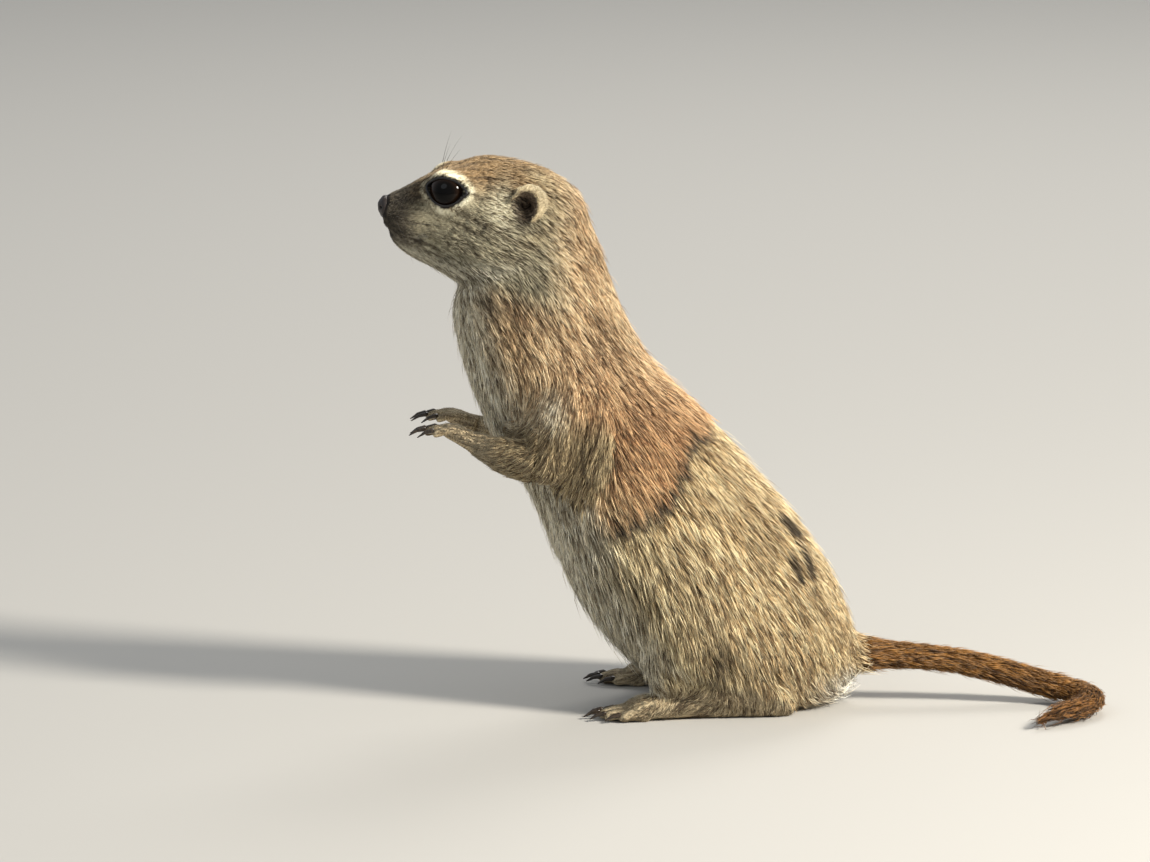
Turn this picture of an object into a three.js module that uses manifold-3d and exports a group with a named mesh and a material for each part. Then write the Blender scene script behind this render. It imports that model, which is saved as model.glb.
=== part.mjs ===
// A round-tailed ground squirrel at life size, sitting up on its haunches with both forepaws held
// out in front at breast height, its head level and its tail laid behind it in a hook.
// Millimetres, +Z up. The animal faces -X and its left side is -Y. The origin lies on the floor
// under the rump, in the plane between its two sides.
import * as THREE from "three";
import { mergeVertices } from "three/addons/utils/BufferGeometryUtils.js";
import Module from "manifold-3d";

const wasm = await Module();
wasm.setup();

// Driving dimensions
const GAP = 0.3; // left between two parts that touch
const FAR = 400; // larger than the whole animal
const LEFT = -1;
const RIGHT = 1;
const SIDES = { left: LEFT, right: RIGHT };

// The trunk, from inside the skull down the neck and back to the rump. Each station is a slice:
// where it meets the line of the back and of the belly [x, z], its half width, how far up the
// slice is widest (0 at the belly, 1 at the back) and how boxy it is (2 is an ellipse).
const TRUNK = [
  { back: [-43, 107], belly: [-54, 103], half: 7, widest: 0.5, boxy: 2 },
  { back: [-37.5, 105.5], belly: [-60, 96.5], half: 11.6, widest: 0.5, boxy: 2.1 },
  { back: [-35.0, 101], belly: [-64.6, 89.5], half: 13, widest: 0.5, boxy: 2.1 },
  { back: [-31.6, 90.7], belly: [-65.2, 81.6], half: 13.4, widest: 0.5, boxy: 2.1 },
  { back: [-28.0, 81.6], belly: [-62.6, 72], half: 14.4, widest: 0.5, boxy: 2.1 },
  { back: [-23.0, 73.6], belly: [-58.6, 61.5], half: 16, widest: 0.5, boxy: 2.1 },
  { back: [-16.6, 67.2], belly: [-53.6, 52.6], half: 17.3, widest: 0.48, boxy: 2.1 },
  { back: [-9.8, 60.5], belly: [-49, 45], half: 18.6, widest: 0.46, boxy: 2.15 },
  { back: [-3, 52.4], belly: [-45.8, 37.6], half: 20, widest: 0.44, boxy: 2.2 },
  { back: [4, 44.6], belly: [-42.4, 29.6], half: 21.4, widest: 0.42, boxy: 2.2 },
  { back: [10.4, 36.4], belly: [-37.6, 21.4], half: 22.6, widest: 0.4, boxy: 2.2 },
  { back: [15.6, 27.8], belly: [-31.4, 13.4], half: 23.2, widest: 0.38, boxy: 2.25 },
  { back: [19, 18.8], belly: [-24, 7], half: 22.4, widest: 0.38, boxy: 2.25 },
  { back: [20.4, 10.6], belly: [-15.5, 2.6], half: 19, widest: 0.4, boxy: 2.2 },
  { back: [19, 3.6], belly: [-7.5, -0.2], half: 14, widest: 0.45, boxy: 2.1 },
  { back: [14.5, -0.8], belly: [0, -1.2], half: 7, widest: 0.5, boxy: 2 },
];
const TRUNK_RINGS = 26;
const TRUNK_SIDES = 26;
// Soft swellings of the flanks: a place [x, z], a reach [x, z] and how far the side rises there.
const FLANK_SWELLINGS = [
  { at: [-5, 19], reach: [15, 12], rise: 3.2 }, // haunch
  { at: [-19, 11.5], reach: [8, 7], rise: 3 }, // knee
  { at: [-38, 64], reach: [10, 11], rise: 2.2 }, // shoulder
];

// The head, from the tip of the nose to the nape, as the same kind of slices.
const HEAD = [
  { back: [-81.1, 107.6], belly: [-81, 106], half: 0.9, widest: 0.5, boxy: 2 },
  { back: [-80.3, 108.9], belly: [-80.4, 104.8], half: 2.1, widest: 0.55, boxy: 2 },
  { back: [-78.9, 109.6], belly: [-79.7, 102.4], half: 3.3, widest: 0.5, boxy: 2.1 },
  { back: [-77, 110.4], belly: [-77.7, 99], half: 4.6, widest: 0.42, boxy: 2.2 },
  { back: [-74.6, 111.6], belly: [-75.2, 96.8], half: 5.8, widest: 0.4, boxy: 2.3 },
  { back: [-71.8, 113.3], belly: [-72.2, 95.2], half: 7.1, widest: 0.42, boxy: 2.5 },
  { back: [-68.6, 114.5], belly: [-68.8, 93.6], half: 8.7, widest: 0.48, boxy: 2.8 },
  { back: [-64.6, 116], belly: [-64.8, 91.4], half: 10.6, widest: 0.52, boxy: 3 },
  { back: [-59.2, 117.7], belly: [-59.4, 89.2], half: 12.4, widest: 0.48, boxy: 2.6 },
  { back: [-53.2, 117.1], belly: [-53.6, 88], half: 13.3, widest: 0.46, boxy: 2.4 },
  { back: [-47.2, 115.6], belly: [-48.4, 87.8], half: 13.2, widest: 0.46, boxy: 2.3 },
  { back: [-42.2, 113.1], belly: [-44, 89.4], half: 12, widest: 0.48, boxy: 2.2 },
  { back: [-38.4, 109.4], belly: [-40.6, 93.4], half: 9.4, widest: 0.5, boxy: 2.1 },
  { back: [-36.6, 105.4], belly: [-38, 98.4], half: 5, widest: 0.5, boxy: 2 },
];
const HEAD_RINGS = 23;
const HEAD_SIDES = 24;
const HEAD_SWELLINGS = [
  { at: [-76, 104], reach: [2.6, 2.6], rise: 0.7 }, // whisker pad
  { at: [-55, 99], reach: [8, 7], rise: 0.9 }, // cheek
];

const EYE = {
  at: [-65.7, 5.0, 110.8],
  radius: 4.5,
  turn: [-0.3, 1, 0.12], // where it looks, on the right side
  lid: 0.65, // thickness of a lid
  lidGap: 0.25, // between eyeball and lid
  brow: 1.9, // how far the lids stand out from the head
  corner: { front: [-3.9, -1.2], rear: [4.5, 0.1] }, // of the opening: along the head, up
  over: 2.7, // how far the upper lid arches over the eye's middle
  under: 2.5,
  sides: 15,
};

const EAR = {
  at: [-49.6, 11.4, 108.4],
  lean: 0.5, // radians, of its long axis, back from upright
  cup: [3.9, 3, 4.8], // half sizes: along the head, outwards, up
  wall: 0.8,
  open: [-0.9, 1.9, 0], // the hollow's shift, which opens the cup outwards and forwards
  canal: { radius: 1.5, depth: 4 },
  sides: 12,
};

const NOSE = { at: [-80, 0, 107], radii: [2.6, 2.7, 2.3] };
const NOSTRIL = { at: [-80.2, 1.5, 106.9], radii: [0.85, 0.75, 0.5], tilt: 0.6 };
// The mouth, from under the nose to its corner [x, z], opened by a thin slit
const MOUTH = {
  line: [[-84, 103.9], [-80, 102.9], [-78.2, 101.6], [-76, 100.7], [-73.2, 100.6], [-71.8, 101.3]],
  slit: 0.4,
  depth: 1.3,
};
const PHILTRUM = { slit: 0.4, from: [-81.5, 105.2], to: [-79.3, 102.4], depth: 0.8 };

// A limb is a row of stations: place on the right side [x, y, z], half width and half depth.
const UPPER_ARM = [
  { at: [-38, 9.5, 71], wide: 6.5, deep: 8.5 },
  { at: [-41, 13, 64], wide: 6.3, deep: 8 },
  { at: [-43.4, 15.2, 58], wide: 5.4, deep: 6.4 },
  { at: [-45, 16.2, 54], wide: 4.6, deep: 4.9 },
];
const FOREARM = [
  { at: [-44.4, 16, 54.4], wide: 4.3, deep: 4.5 },
  { at: [-50, 14.6, 54.6], wide: 4, deep: 4.3 },
  { at: [-55.5, 12.6, 55.8], wide: 3.2, deep: 3.5 },
  { at: [-60.4, 10.7, 57.6], wide: 2.5, deep: 2.4 },
];
const PALM = [
  { at: [-59.8, 10.9, 57.4], wide: 2.4, deep: 2.3 },
  { at: [-63, 10.1, 58.9], wide: 2.9, deep: 1.9 },
  { at: [-66, 9.7, 60.2], wide: 3, deep: 1.5 },
];
const FINGERS = { count: 4, fan: 0.2, long: 5.6, shortest: 0.82, thick: 0.95, droop: 0.6, root: 2.1 };
const THUMB = { at: [-62.4, 7.9, 57.8], tip: [-64.6, 7.3, 57.6], thick: 0.8 };
const HAND_CLAW = { long: 2.9, thick: 0.52, hook: 0.9 };

// Hind legs: the shank lies under the haunch, and the foot runs forwards from the heel.
const SHANK = [
  { at: [-19, 18.6, 11], wide: 5.6, deep: 7 },
  { at: [-11, 18.4, 8.4], wide: 4.8, deep: 6 },
  { at: [-2, 17, 5.8], wide: 4, deep: 5 },
  { at: [4.6, 15.8, 4], wide: 3.1, deep: 3.8 },
];
const FOOT = [
  { at: [4.4, 16, 3], wide: 3, deep: 3.2 },
  { at: [-4, 16.6, 3.1], wide: 3.2, deep: 3.3 },
  { at: [-13, 17.5, 3], wide: 3.7, deep: 3.1 },
  { at: [-21, 18.5, 2.5], wide: 4.3, deep: 2.6 },
  { at: [-26.6, 19.3, 2.1], wide: 4.4, deep: 2.2 },
];
const TOES = { count: 5, fan: 0.17, long: 7, shortest: 0.62, thick: 1.25, droop: 0.35, root: 3.4 };
const FOOT_CLAW = { long: 2.8, thick: 0.6, hook: 0.7 };

const TAIL = [
  { at: [13, 0, 12], wide: 6.2, deep: 6.4 },
  { at: [19.5, 0, 10.6], wide: 4.4, deep: 4.7 },
  { at: [27, 0, 10.1], wide: 3.3, deep: 3.3 },
  { at: [36, -0.2, 9.6], wide: 3.1, deep: 3 },
  { at: [45, -0.5, 8.3], wide: 3.1, deep: 3 },
  { at: [53, -1, 6.3], wide: 3.2, deep: 3 },
  { at: [60.4, -2, 4.3], wide: 3.3, deep: 3 },
  { at: [66.4, -4.8, 3.1], wide: 3.4, deep: 3 },
  { at: [69.8, -10, 2.8], wide: 3.6, deep: 2.9 },
  { at: [69.6, -16.4, 2.7], wide: 3.8, deep: 2.8 },
  { at: [66.4, -22.2, 2.5], wide: 3.6, deep: 2.6 },
  { at: [62, -27.2, 2.1], wide: 2.8, deep: 2.1 },
  { at: [58.6, -30.8, 1.6], wide: 1.3, deep: 1.3 },
];
const TAIL_CUTS = [0.4, 0.7]; // where its three lengths part, as shares of its way

// Materials, from the coat as the sun shows it
const finish = (colour, roughness) =>
  new THREE.MeshStandardMaterial({ color: colour, roughness, metalness: 0 });
const COAT = {
  head: finish(0x8f7856, 0.95),
  front: finish(0xab8358, 0.95),
  rear: finish(0xb59a6e, 0.95),
  limb: finish(0x9c8763, 0.95),
  tail: finish(0x73502b, 0.95),
};
const EYE_FINISH = finish(0x0d0906, 0.08);
const NOSE_FINISH = finish(0x2b2320, 0.6);
const CLAW_FINISH = finish(0x2c241c, 0.4);

// Solids

// A closed geometry as a solid, turned outwards if its faces point in.
function solidOf(geometry) {
  const bare = geometry.clone();
  bare.deleteAttribute("normal");
  bare.deleteAttribute("uv");
  const merged = mergeVertices(bare, 1e-4);
  const make = (triVerts) =>
    new wasm.Manifold(
      new wasm.Mesh({
        numProp: 3,
        vertProperties: new Float32Array(merged.attributes.position.array),
        triVerts,
      }),
    );
  const faces = new Uint32Array(merged.index.array);
  const made = make(faces);
  return made.volume() < 0 ? make(faces.slice().reverse()) : made;
}

function geometryOf(solid) {
  const { vertProperties, triVerts, numProp, numVert } = solid.getMesh();
  const places = new Float32Array(numVert * 3);
  for (let v = 0; v < numVert; v++) {
    places.set(vertProperties.subarray(v * numProp, v * numProp + 3), v * 3);
  }
  const geometry = new THREE.BufferGeometry();
  geometry.setAttribute("position", new THREE.BufferAttribute(places, 3));
  geometry.setIndex(new THREE.BufferAttribute(new Uint32Array(triVerts), 1));
  geometry.computeVertexNormals();
  return geometry;
}

// A cut can leave scraps, so only the largest closed body is kept.
const largest = (solid) => solid.decompose().sort((a, b) => b.volume() - a.volume())[0];

const joined = (...solids) => solids.reduce((all, one) => all.add(one));

// A place on the right side, or its mirror image on the left.
const placed = ([x, y, z], side = RIGHT) => new THREE.Vector3(x, side * y, z);

// Rows of equal keys, eased smoothly from row to row as u runs from 0 to 1.
function eased(rows, u) {
  const way = u * (rows.length - 1);
  const from = Math.min(Math.floor(way), rows.length - 2);
  const near = (offset) => rows[THREE.MathUtils.clamp(from + offset, 0, rows.length - 1)];
  const between = (read) => {
    const knots = [-1, 0, 1, 2].map((offset) => new THREE.Vector2(read(near(offset)), 0));
    return new THREE.SplineCurve(knots).getPoint((1 + way - from) / 3).x;
  };
  const row = {};
  for (const [key, value] of Object.entries(rows[0])) {
    row[key] = Array.isArray(value)
      ? value.map((_, n) => between((one) => one[key][n]))
      : between((one) => one[key]);
  }
  return row;
}

// A closed surface through rings of equally many points, each end closed by a fan.
function through(rings) {
  const count = rings[0].length;
  const points = rings.flat();
  const faces = [];
  for (let r = 0; r < rings.length - 1; r++) {
    for (let s = 0; s < count; s++) {
      const [a, b] = [r * count + s, r * count + ((s + 1) % count)];
      faces.push(a, b, b + count, a, b + count, a + count);
    }
  }
  for (const end of [0, rings.length - 1]) {
    const middle = points.length;
    const mean = rings[end].reduce((sum, p) => sum.add(p), new THREE.Vector3());
    points.push(mean.divideScalar(count));
    for (let s = 0; s < count; s++) {
      const [a, b] = [end * count + s, end * count + ((s + 1) % count)];
      faces.push(...(end === 0 ? [middle, b, a] : [middle, a, b]));
    }
  }
  const geometry = new THREE.BufferGeometry().setFromPoints(points);
  geometry.setIndex(faces);
  return geometry;
}

const bell = (distance) => Math.exp(-distance * distance);

// How far the flanks stand out at a place because of their swellings.
const swollen = (swellings, x, z) =>
  swellings.reduce(
    (sum, { at, reach, rise }) =>
      sum + rise * bell(Math.hypot((x - at[0]) / reach[0], (z - at[1]) / reach[1])),
    0,
  );

// One slice of the trunk or head: a superellipse between belly and back, grown all round.
function slice({ back, belly, half, widest, boxy }, count, swellings, grow) {
  const top = new THREE.Vector3(back[0], 0, back[1]);
  const foot = new THREE.Vector3(belly[0], 0, belly[1]);
  const middle = foot.clone().lerp(top, widest);
  return Array.from({ length: count }, (_, k) => {
    const angle = (2 * Math.PI * k) / count;
    const rise = Math.abs(Math.cos(angle)) ** (2 / boxy);
    const reach = Math.abs(Math.sin(angle)) ** (2 / boxy) * Math.sign(Math.sin(angle));
    const point = middle.clone().lerp(Math.cos(angle) > 0 ? top : foot, rise);
    point.y = half * reach + Math.sign(reach) * Math.sqrt(Math.abs(reach)) *
      swollen(swellings, point.x, point.z);
    const outwards = point.clone().sub(middle).normalize();
    return point.addScaledVector(outwards, grow);
  });
}

function sliced(stations, rings, count, swellings, grow = 0) {
  const slices = Array.from({ length: rings }, (_, r) =>
    slice(eased(stations, r / (rings - 1)), count, swellings, grow),
  );
  return solidOf(through(slices));
}

// The round end of a limb, as rings that shrink over a quarter circle.
const ROUND_END = [0.94, 0.58];
const BLUNT_END = [0.8];

// A limb through its stations, with both ends rounded. flat is the direction that its depth is
// measured along.
function limb(stations, {
  side = RIGHT, rings = 8, count = 12, flat = [0, 0, 1], start = ROUND_END, end = ROUND_END,
}) {
  const way = new THREE.CatmullRomCurve3(
    stations.map(({ at }) => placed(at, side)), false, "centripetal",
  );
  const upward = new THREE.Vector3(...flat);
  const ring = (u, shrink, shift) => {
    const { wide, deep } = eased(stations, u);
    const along = way.getTangent(u);
    const across = new THREE.Vector3().crossVectors(along, upward).normalize();
    const up = new THREE.Vector3().crossVectors(across, along).normalize();
    const middle = way.getPoint(u).addScaledVector(along, shift * Math.min(wide, deep));
    return Array.from({ length: count }, (_, k) => {
      const angle = (2 * Math.PI * k) / count;
      return middle
        .clone()
        .addScaledVector(across, Math.cos(angle) * wide * shrink)
        .addScaledVector(up, Math.sin(angle) * deep * shrink);
    });
  };
  const shrunk = (share) => Math.sqrt(1 - share * share);
  const all = [
    ...start.map((share) => ring(0, shrunk(share), -share)),
    ...Array.from({ length: rings }, (_, r) => ring(r / (rings - 1), 1, 0)),
    ...end.toReversed().map((share) => ring(1, shrunk(share), share)),
  ];
  return solidOf(through(all));
}

function ellipsoid(at, radii, count = 16, turn = new THREE.Euler()) {
  const geometry = new THREE.SphereGeometry(1, count, Math.round(count * 0.7));
  geometry.scale(...radii);
  geometry.applyQuaternion(new THREE.Quaternion().setFromEuler(turn));
  geometry.translate(...at);
  return solidOf(geometry);
}

// Everything on the far side of a plane through a point, as a huge box.
function beyond(point, normal, shift = 0) {
  const way = new THREE.Vector3(...normal).normalize();
  const geometry = new THREE.BoxGeometry(FAR, FAR, FAR);
  geometry.applyQuaternion(
    new THREE.Quaternion().setFromUnitVectors(new THREE.Vector3(0, 0, 1), way),
  );
  const middle = new THREE.Vector3(...point).addScaledVector(way, FAR / 2 + shift);
  geometry.translate(middle.x, middle.y, middle.z);
  return solidOf(geometry);
}

// A plate in the side view, pulled across the body: an outline [x, z] and how far it reaches.
function acrossBody(outline, from, to) {
  const shape = new THREE.Shape(outline.map(([x, z]) => new THREE.Vector2(x, z)));
  const geometry = new THREE.ExtrudeGeometry(shape, { depth: to - from, bevelEnabled: false });
  geometry.rotateX(Math.PI / 2);
  geometry.translate(0, to, 0);
  return solidOf(geometry);
}

// Head

const headForm = (grow = 0) => sliced(HEAD, HEAD_RINGS, HEAD_SIDES, HEAD_SWELLINGS, grow);

// The eye's own frame: z looks out, y is up.
function eyeFrame(side) {
  const look = placed(EYE.turn, side).normalize();
  const back = new THREE.Vector3(1, 0, 0).projectOnPlane(look).normalize();
  const up = new THREE.Vector3().crossVectors(look, back).multiplyScalar(side);
  const turned = new THREE.Matrix4().makeBasis(back, up.clone(), look);
  return turned.setPosition(placed(EYE.at, side));
}

function eyeSphere(side, grow) {
  const geometry = new THREE.SphereGeometry(EYE.radius + grow, EYE.sides, EYE.sides * 0.6);
  geometry.rotateX(Math.PI / 2);
  geometry.applyMatrix4(eyeFrame(side));
  return solidOf(geometry);
}

// The opening between the lids, pulled outwards from inside the eyeball.
function lidOpening(side) {
  const { front, rear } = EYE.corner;
  const shape = new THREE.Shape();
  shape.moveTo(...front);
  shape.bezierCurveTo(front[0] + 0.4, EYE.over * 1.25, rear[0] - 3, EYE.over * 1.3, ...rear);
  shape.bezierCurveTo(rear[0] - 3, -EYE.under * 1.2, front[0], -EYE.under * 1.35, ...front);
  const geometry = new THREE.ExtrudeGeometry(shape, {
    depth: EYE.radius * 2,
    bevelEnabled: false,
    curveSegments: 9,
  });
  geometry.applyMatrix4(eyeFrame(side));
  return solidOf(geometry);
}

// A strip of a line in the side view, as wide as a slit.
function slitOutline(line, wide) {
  const curve = new THREE.SplineCurve(line.map(([x, z]) => new THREE.Vector2(x, z)));
  const points = curve.getPoints(line.length * 2);
  const offset = (way) =>
    points.map((p, k) => {
      const ahead = points[Math.min(k + 1, points.length - 1)];
      const behind = points[Math.max(k - 1, 0)];
      const along = ahead.clone().sub(behind).normalize();
      return [p.x - along.y * way, p.y + along.x * way];
    });
  return [...offset(wide / 2), ...offset(-wide / 2).reverse()];
}

function mouthSlit() {
  const plate = acrossBody(slitOutline(MOUTH.line, MOUTH.slit), -20, 20);
  return plate.subtract(headForm(-MOUTH.depth));
}

function philtrumSlit() {
  const outline = slitOutline([PHILTRUM.from, PHILTRUM.to], PHILTRUM.depth * 2);
  return acrossBody(outline, -PHILTRUM.slit / 2, PHILTRUM.slit / 2);
}

function nostril(side) {
  return ellipsoid(placed(NOSTRIL.at, side).toArray(), NOSTRIL.radii, 6,
    new THREE.Euler(0, NOSTRIL.tilt, side * 0.5));
}

function earCanal(side) {
  const { radius, depth } = EAR.canal;
  return ellipsoid(placed(EAR.at, side).toArray(), [radius, depth, radius * 1.3], 12);
}

function headSolid() {
  let head = headForm();
  for (const side of Object.values(SIDES)) {
    const lids = eyeSphere(side, EYE.lidGap + EYE.lid).intersect(headForm(EYE.brow));
    head = head
      .add(lids)
      .subtract(eyeSphere(side, EYE.lidGap))
      .subtract(lidOpening(side))
      .subtract(nostril(side))
      .subtract(earCanal(side));
  }
  return head.subtract(mouthSlit()).subtract(philtrumSlit());
}

// The ear: a small round cup that lies back against the head and opens forwards.
function earSolid(side) {
  const lean = new THREE.Euler(0, EAR.lean, 0);
  const [x, y, z] = EAR.at;
  const [dx, dy, dz] = EAR.open;
  const cup = ellipsoid(placed([x, y, z], side).toArray(), EAR.cup, EAR.sides, lean);
  const hollow = ellipsoid(placed([x + dx, y + dy, z + dz], side).toArray(),
    EAR.cup.map((size) => size - EAR.wall), EAR.sides, lean);
  return largest(cup.subtract(hollow).subtract(headForm(GAP)));
}

// Limbs

// Fingers or toes: a fan of small limbs from the end of a palm or foot. Each is told by its
// place in the fan, from -1 on the inner side to 1 on the outer, and is longest in the middle.
function digits(base, heading, plan, side) {
  return Array.from({ length: plan.count }, (_, k) => {
    const place = (2 * k) / (plan.count - 1) - 1;
    const angle = heading + place * plan.fan;
    const long = plan.long * (1 - (1 - plan.shortest) * place * place);
    const [ax, ay] = [-Math.cos(angle), Math.sin(angle)];
    const root = [
      base[0] + Math.sin(heading) * place * plan.root + (place * place) * 1.1,
      base[1] + Math.cos(heading) * place * plan.root,
      base[2],
    ];
    const at = (share) => [
      root[0] + ax * long * share,
      root[1] + ay * long * share,
      root[2] + Math.sin(share * Math.PI * 0.8) * plan.thick * 0.5 - plan.droop * share * share,
    ];
    const row = (share, scale) => ({
      at: at(share),
      wide: plan.thick * scale,
      deep: plan.thick * scale,
    });
    return {
      limb: limb([row(-0.3, 0.9), row(0.25, 1), row(0.65, 0.95), row(1, 0.85)],
        { side, rings: 4, count: 6, start: [], end: [0.8] }),
      tip: at(1),
      ahead: [ax, ay],
    };
  });
}

// A hooked claw that starts a gap in front of its digit's tip.
function claw({ tip, ahead }, plan, thick, side) {
  const start = thick * 0.85 + GAP;
  const at = (share) => {
    const out = start + plan.long * share;
    return [
      tip[0] + ahead[0] * out,
      tip[1] + ahead[1] * out,
      tip[2] + 0.25 + 0.3 * Math.sin(share * Math.PI) - plan.hook * share * share,
    ];
  };
  const row = (share, scale) => ({ at: at(share), wide: plan.thick * scale * 0.8, deep: plan.thick * scale });
  return limb([row(0.2, 1), row(0.45, 0.85), row(0.75, 0.55), row(1, 0.2)],
    { side, rings: 3, count: 5, start: BLUNT_END, end: [] });
}

const FINGER_HEADING = -0.08;
const TOE_HEADING = 0.14;
const onRight = (place) => PALM.at(-1).at.map((value, n) => value + place[n]);

const fingers = (side) => digits(onRight([0.8, 0, 0.1]), FINGER_HEADING, FINGERS, side);
const toes = (side) =>
  digits([FOOT.at(-1).at[0], FOOT.at(-1).at[1], 1.05], TOE_HEADING, TOES, side);

function handSolid(side) {
  const thumb = limb(
    [
      { at: THUMB.at, wide: THUMB.thick, deep: THUMB.thick },
      { at: THUMB.tip, wide: THUMB.thick * 0.7, deep: THUMB.thick * 0.7 },
    ],
    { side, rings: 3, count: 6, start: BLUNT_END, end: BLUNT_END },
  );
  return joined(limb(PALM, { side, rings: 4, count: 9 }), thumb,
    ...fingers(side).map((one) => one.limb));
}

const armSolid = (side) =>
  joined(
    limb(UPPER_ARM, { side, rings: 8, count: 16, flat: [1, 0, 0] }),
    limb(FOREARM, { side, rings: 7, count: 14 }),
    handSolid(side),
  );

const legSolid = (side) =>
  joined(
    limb(SHANK, { side, rings: 5, count: 10 }),
    limb(FOOT, { side, rings: 6, count: 10 }),
    ...toes(side).map((one) => one.limb),
  );

const tailSolid = () => limb(TAIL, { rings: 26, count: 12 });

// The whole body, cut flat where it rests on the floor
function wholeBody() {
  const trunk = sliced(TRUNK, TRUNK_RINGS, TRUNK_SIDES, FLANK_SWELLINGS);
  const limbs = Object.values(SIDES).flatMap((side) => [armSolid(side), legSolid(side)]);
  return joined(trunk, headSolid(), tailSolid(), ...limbs).subtract(beyond([0, 0, 0], [0, 0, -1]));
}

// Cutters: each gives the space of one named part, grown by the gap where its neighbour is cut.

const handSpace = (side) => (grow) => {
  const wrist = placed([-60.8, 10.6, 57.6], side).toArray();
  return beyond(wrist, [-1, 0, 0.3], -grow).intersect(
    ellipsoid(placed([-67, 10, 59], side).toArray(), [13 + grow, 8, 6], 12),
  );
};
const forearmSpace = (side) => (grow) =>
  beyond(placed([-47.6, 0, 54], side).toArray(), [-1, 0, 0.1], -grow).intersect(
    ellipsoid(placed([-54, 15, 55.6], side).toArray(), [14, 7 + grow, 8.5 + grow], 16),
  );
const upperArmSpace = (side) => (grow) =>
  ellipsoid(placed([-42, 17.5, 60], side).toArray(),
    [10.5 + grow, 6.5 + grow, 14.5 + grow], 16, new THREE.Euler(0, -0.25, 0));
const footSpace = (side) => (grow) =>
  ellipsoid(placed([-16, 18, 0], side).toArray(), [26 + grow, 8.5 + grow, 5.6 + grow], 16)
    .add(ellipsoid(placed([-30, 20, 0], side).toArray(), [12 + grow, 10 + grow, 5 + grow], 10));
const shankSpace = (side) => (grow) =>
  limb(
    SHANK.map(({ at: [x, y, z], wide, deep }) => ({
      at: [x, y + 4, z - 1],
      wide: wide + 4 + grow,
      deep: deep * 0.62 + grow,
    })),
    { side, rings: 6, count: 12 },
  );
const thighSpace = (side) => (grow) =>
  ellipsoid(placed([-7, 25, 19.5], side).toArray(),
    [20.5 + grow, 10 + grow, 16.5 + grow], 18, new THREE.Euler(0, -0.35, 0));
const tailSpace = (share) => (grow) => {
  const way = new THREE.CatmullRomCurve3(TAIL.map(({ at }) => placed(at)), false, "centripetal");
  const ahead = way.getTangentAt(share);
  const cut = way.getPointAt(share);
  return beyond(cut.toArray(), ahead.toArray(), -grow).intersect(
    beyond([19.4, 0, 0], [1, 0, -0.16], 0),
  );
};
const wholeTailSpace = (grow) => beyond([21.4, 0, 10], [1, 0, -0.1], -grow);
const noseSpace = (grow) => ellipsoid(NOSE.at, NOSE.radii.map((size) => size + grow), 10);
const headSpace = (grow) => beyond([-50, 0, 93.6], [-0.36, 0, 1], -grow);
const neckSpace = (grow) => beyond([-44, 0, 76.5], [-0.34, 0, 1], -grow);
const chestSpace = (grow) => beyond([-30, 0, 49], [-0.5, 0, 1], -grow);

// Parts the body into named solids, one space after another, and leaves the gap between them.
function parted(body, spaces) {
  let rest = body;
  const parts = {};
  for (const [name, space] of Object.entries(spaces)) {
    parts[name] = largest(rest.intersect(space(0)));
    rest = rest.subtract(space(GAP));
  }
  return { parts, rest: largest(rest) };
}

const bothSides = (name, space) =>
  Object.fromEntries(Object.entries(SIDES).map(([word, side]) => [`${name}_${word}`, space(side)]));

function bodyParts() {
  const { parts, rest } = parted(wholeBody(), {
    nose: noseSpace,
    tail_tip: tailSpace(TAIL_CUTS[1]),
    tail_middle: tailSpace(TAIL_CUTS[0]),
    tail_base: wholeTailSpace,
    ...bothSides("hand", handSpace),
    ...bothSides("forearm", forearmSpace),
    ...bothSides("upper_arm", upperArmSpace),
    ...bothSides("foot", footSpace),
    ...bothSides("shank", shankSpace),
    ...bothSides("thigh", thighSpace),
    head: headSpace,
    neck: neckSpace,
    chest: chestSpace,
  });
  return { ...parts, belly_and_rump: rest };
}

// The parts' finishes, told by the start of their names
const FINISHES = [
  ["nose", NOSE_FINISH],
  ["tail", COAT.tail],
  ["head", COAT.head],
  ["ear", COAT.head],
  ["neck", COAT.front],
  ["chest", COAT.front],
  ["belly", COAT.rear],
  ["thigh", COAT.rear],
  ["eye", EYE_FINISH],
  ["claw", CLAW_FINISH],
  ["", COAT.limb],
];

function mesh(name, solid) {
  const [, material] = FINISHES.find(([start]) => name.startsWith(start));
  const made = new THREE.Mesh(geometryOf(solid), material);
  made.name = name;
  return made;
}

const squirrel = new THREE.Group();
for (const [name, solid] of Object.entries(bodyParts())) {
  squirrel.add(mesh(name, solid));
}
for (const [word, side] of Object.entries(SIDES)) {
  squirrel.add(mesh(`eye_${word}`, eyeSphere(side, 0)));
  squirrel.add(mesh(`ear_${word}`, earSolid(side)));
  fingers(side).forEach((one, k) => {
    squirrel.add(mesh(`claw_hand_${word}_${k + 1}`, claw(one, HAND_CLAW, FINGERS.thick, side)));
  });
  toes(side).forEach((one, k) => {
    squirrel.add(mesh(`claw_foot_${word}_${k + 1}`, claw(one, FOOT_CLAW, TOES.thick, side)));
  });
}

export default squirrel;
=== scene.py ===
"""A round-tailed ground squirrel at life size, sitting up on its haunches.

A skin is grown over the solids and sunk by part of the depth of the coat, with a finer one for the
forearms and hands that tucks in at the elbow. Fur is set on both as thin closed tufts that follow
the lie of the coat. Eyes, lids, nose, ears, claws and whiskers are pieces of their own. Lengths in
the tables are millimetres, in the frame of the solids: the animal faces -X, its left side is -Y and
+Z is up. Tables give the right side only.
"""
import math

import bmesh
import bpy
import numpy as np
from mathutils import Matrix, Vector
from mathutils.kdtree import KDTree


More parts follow.
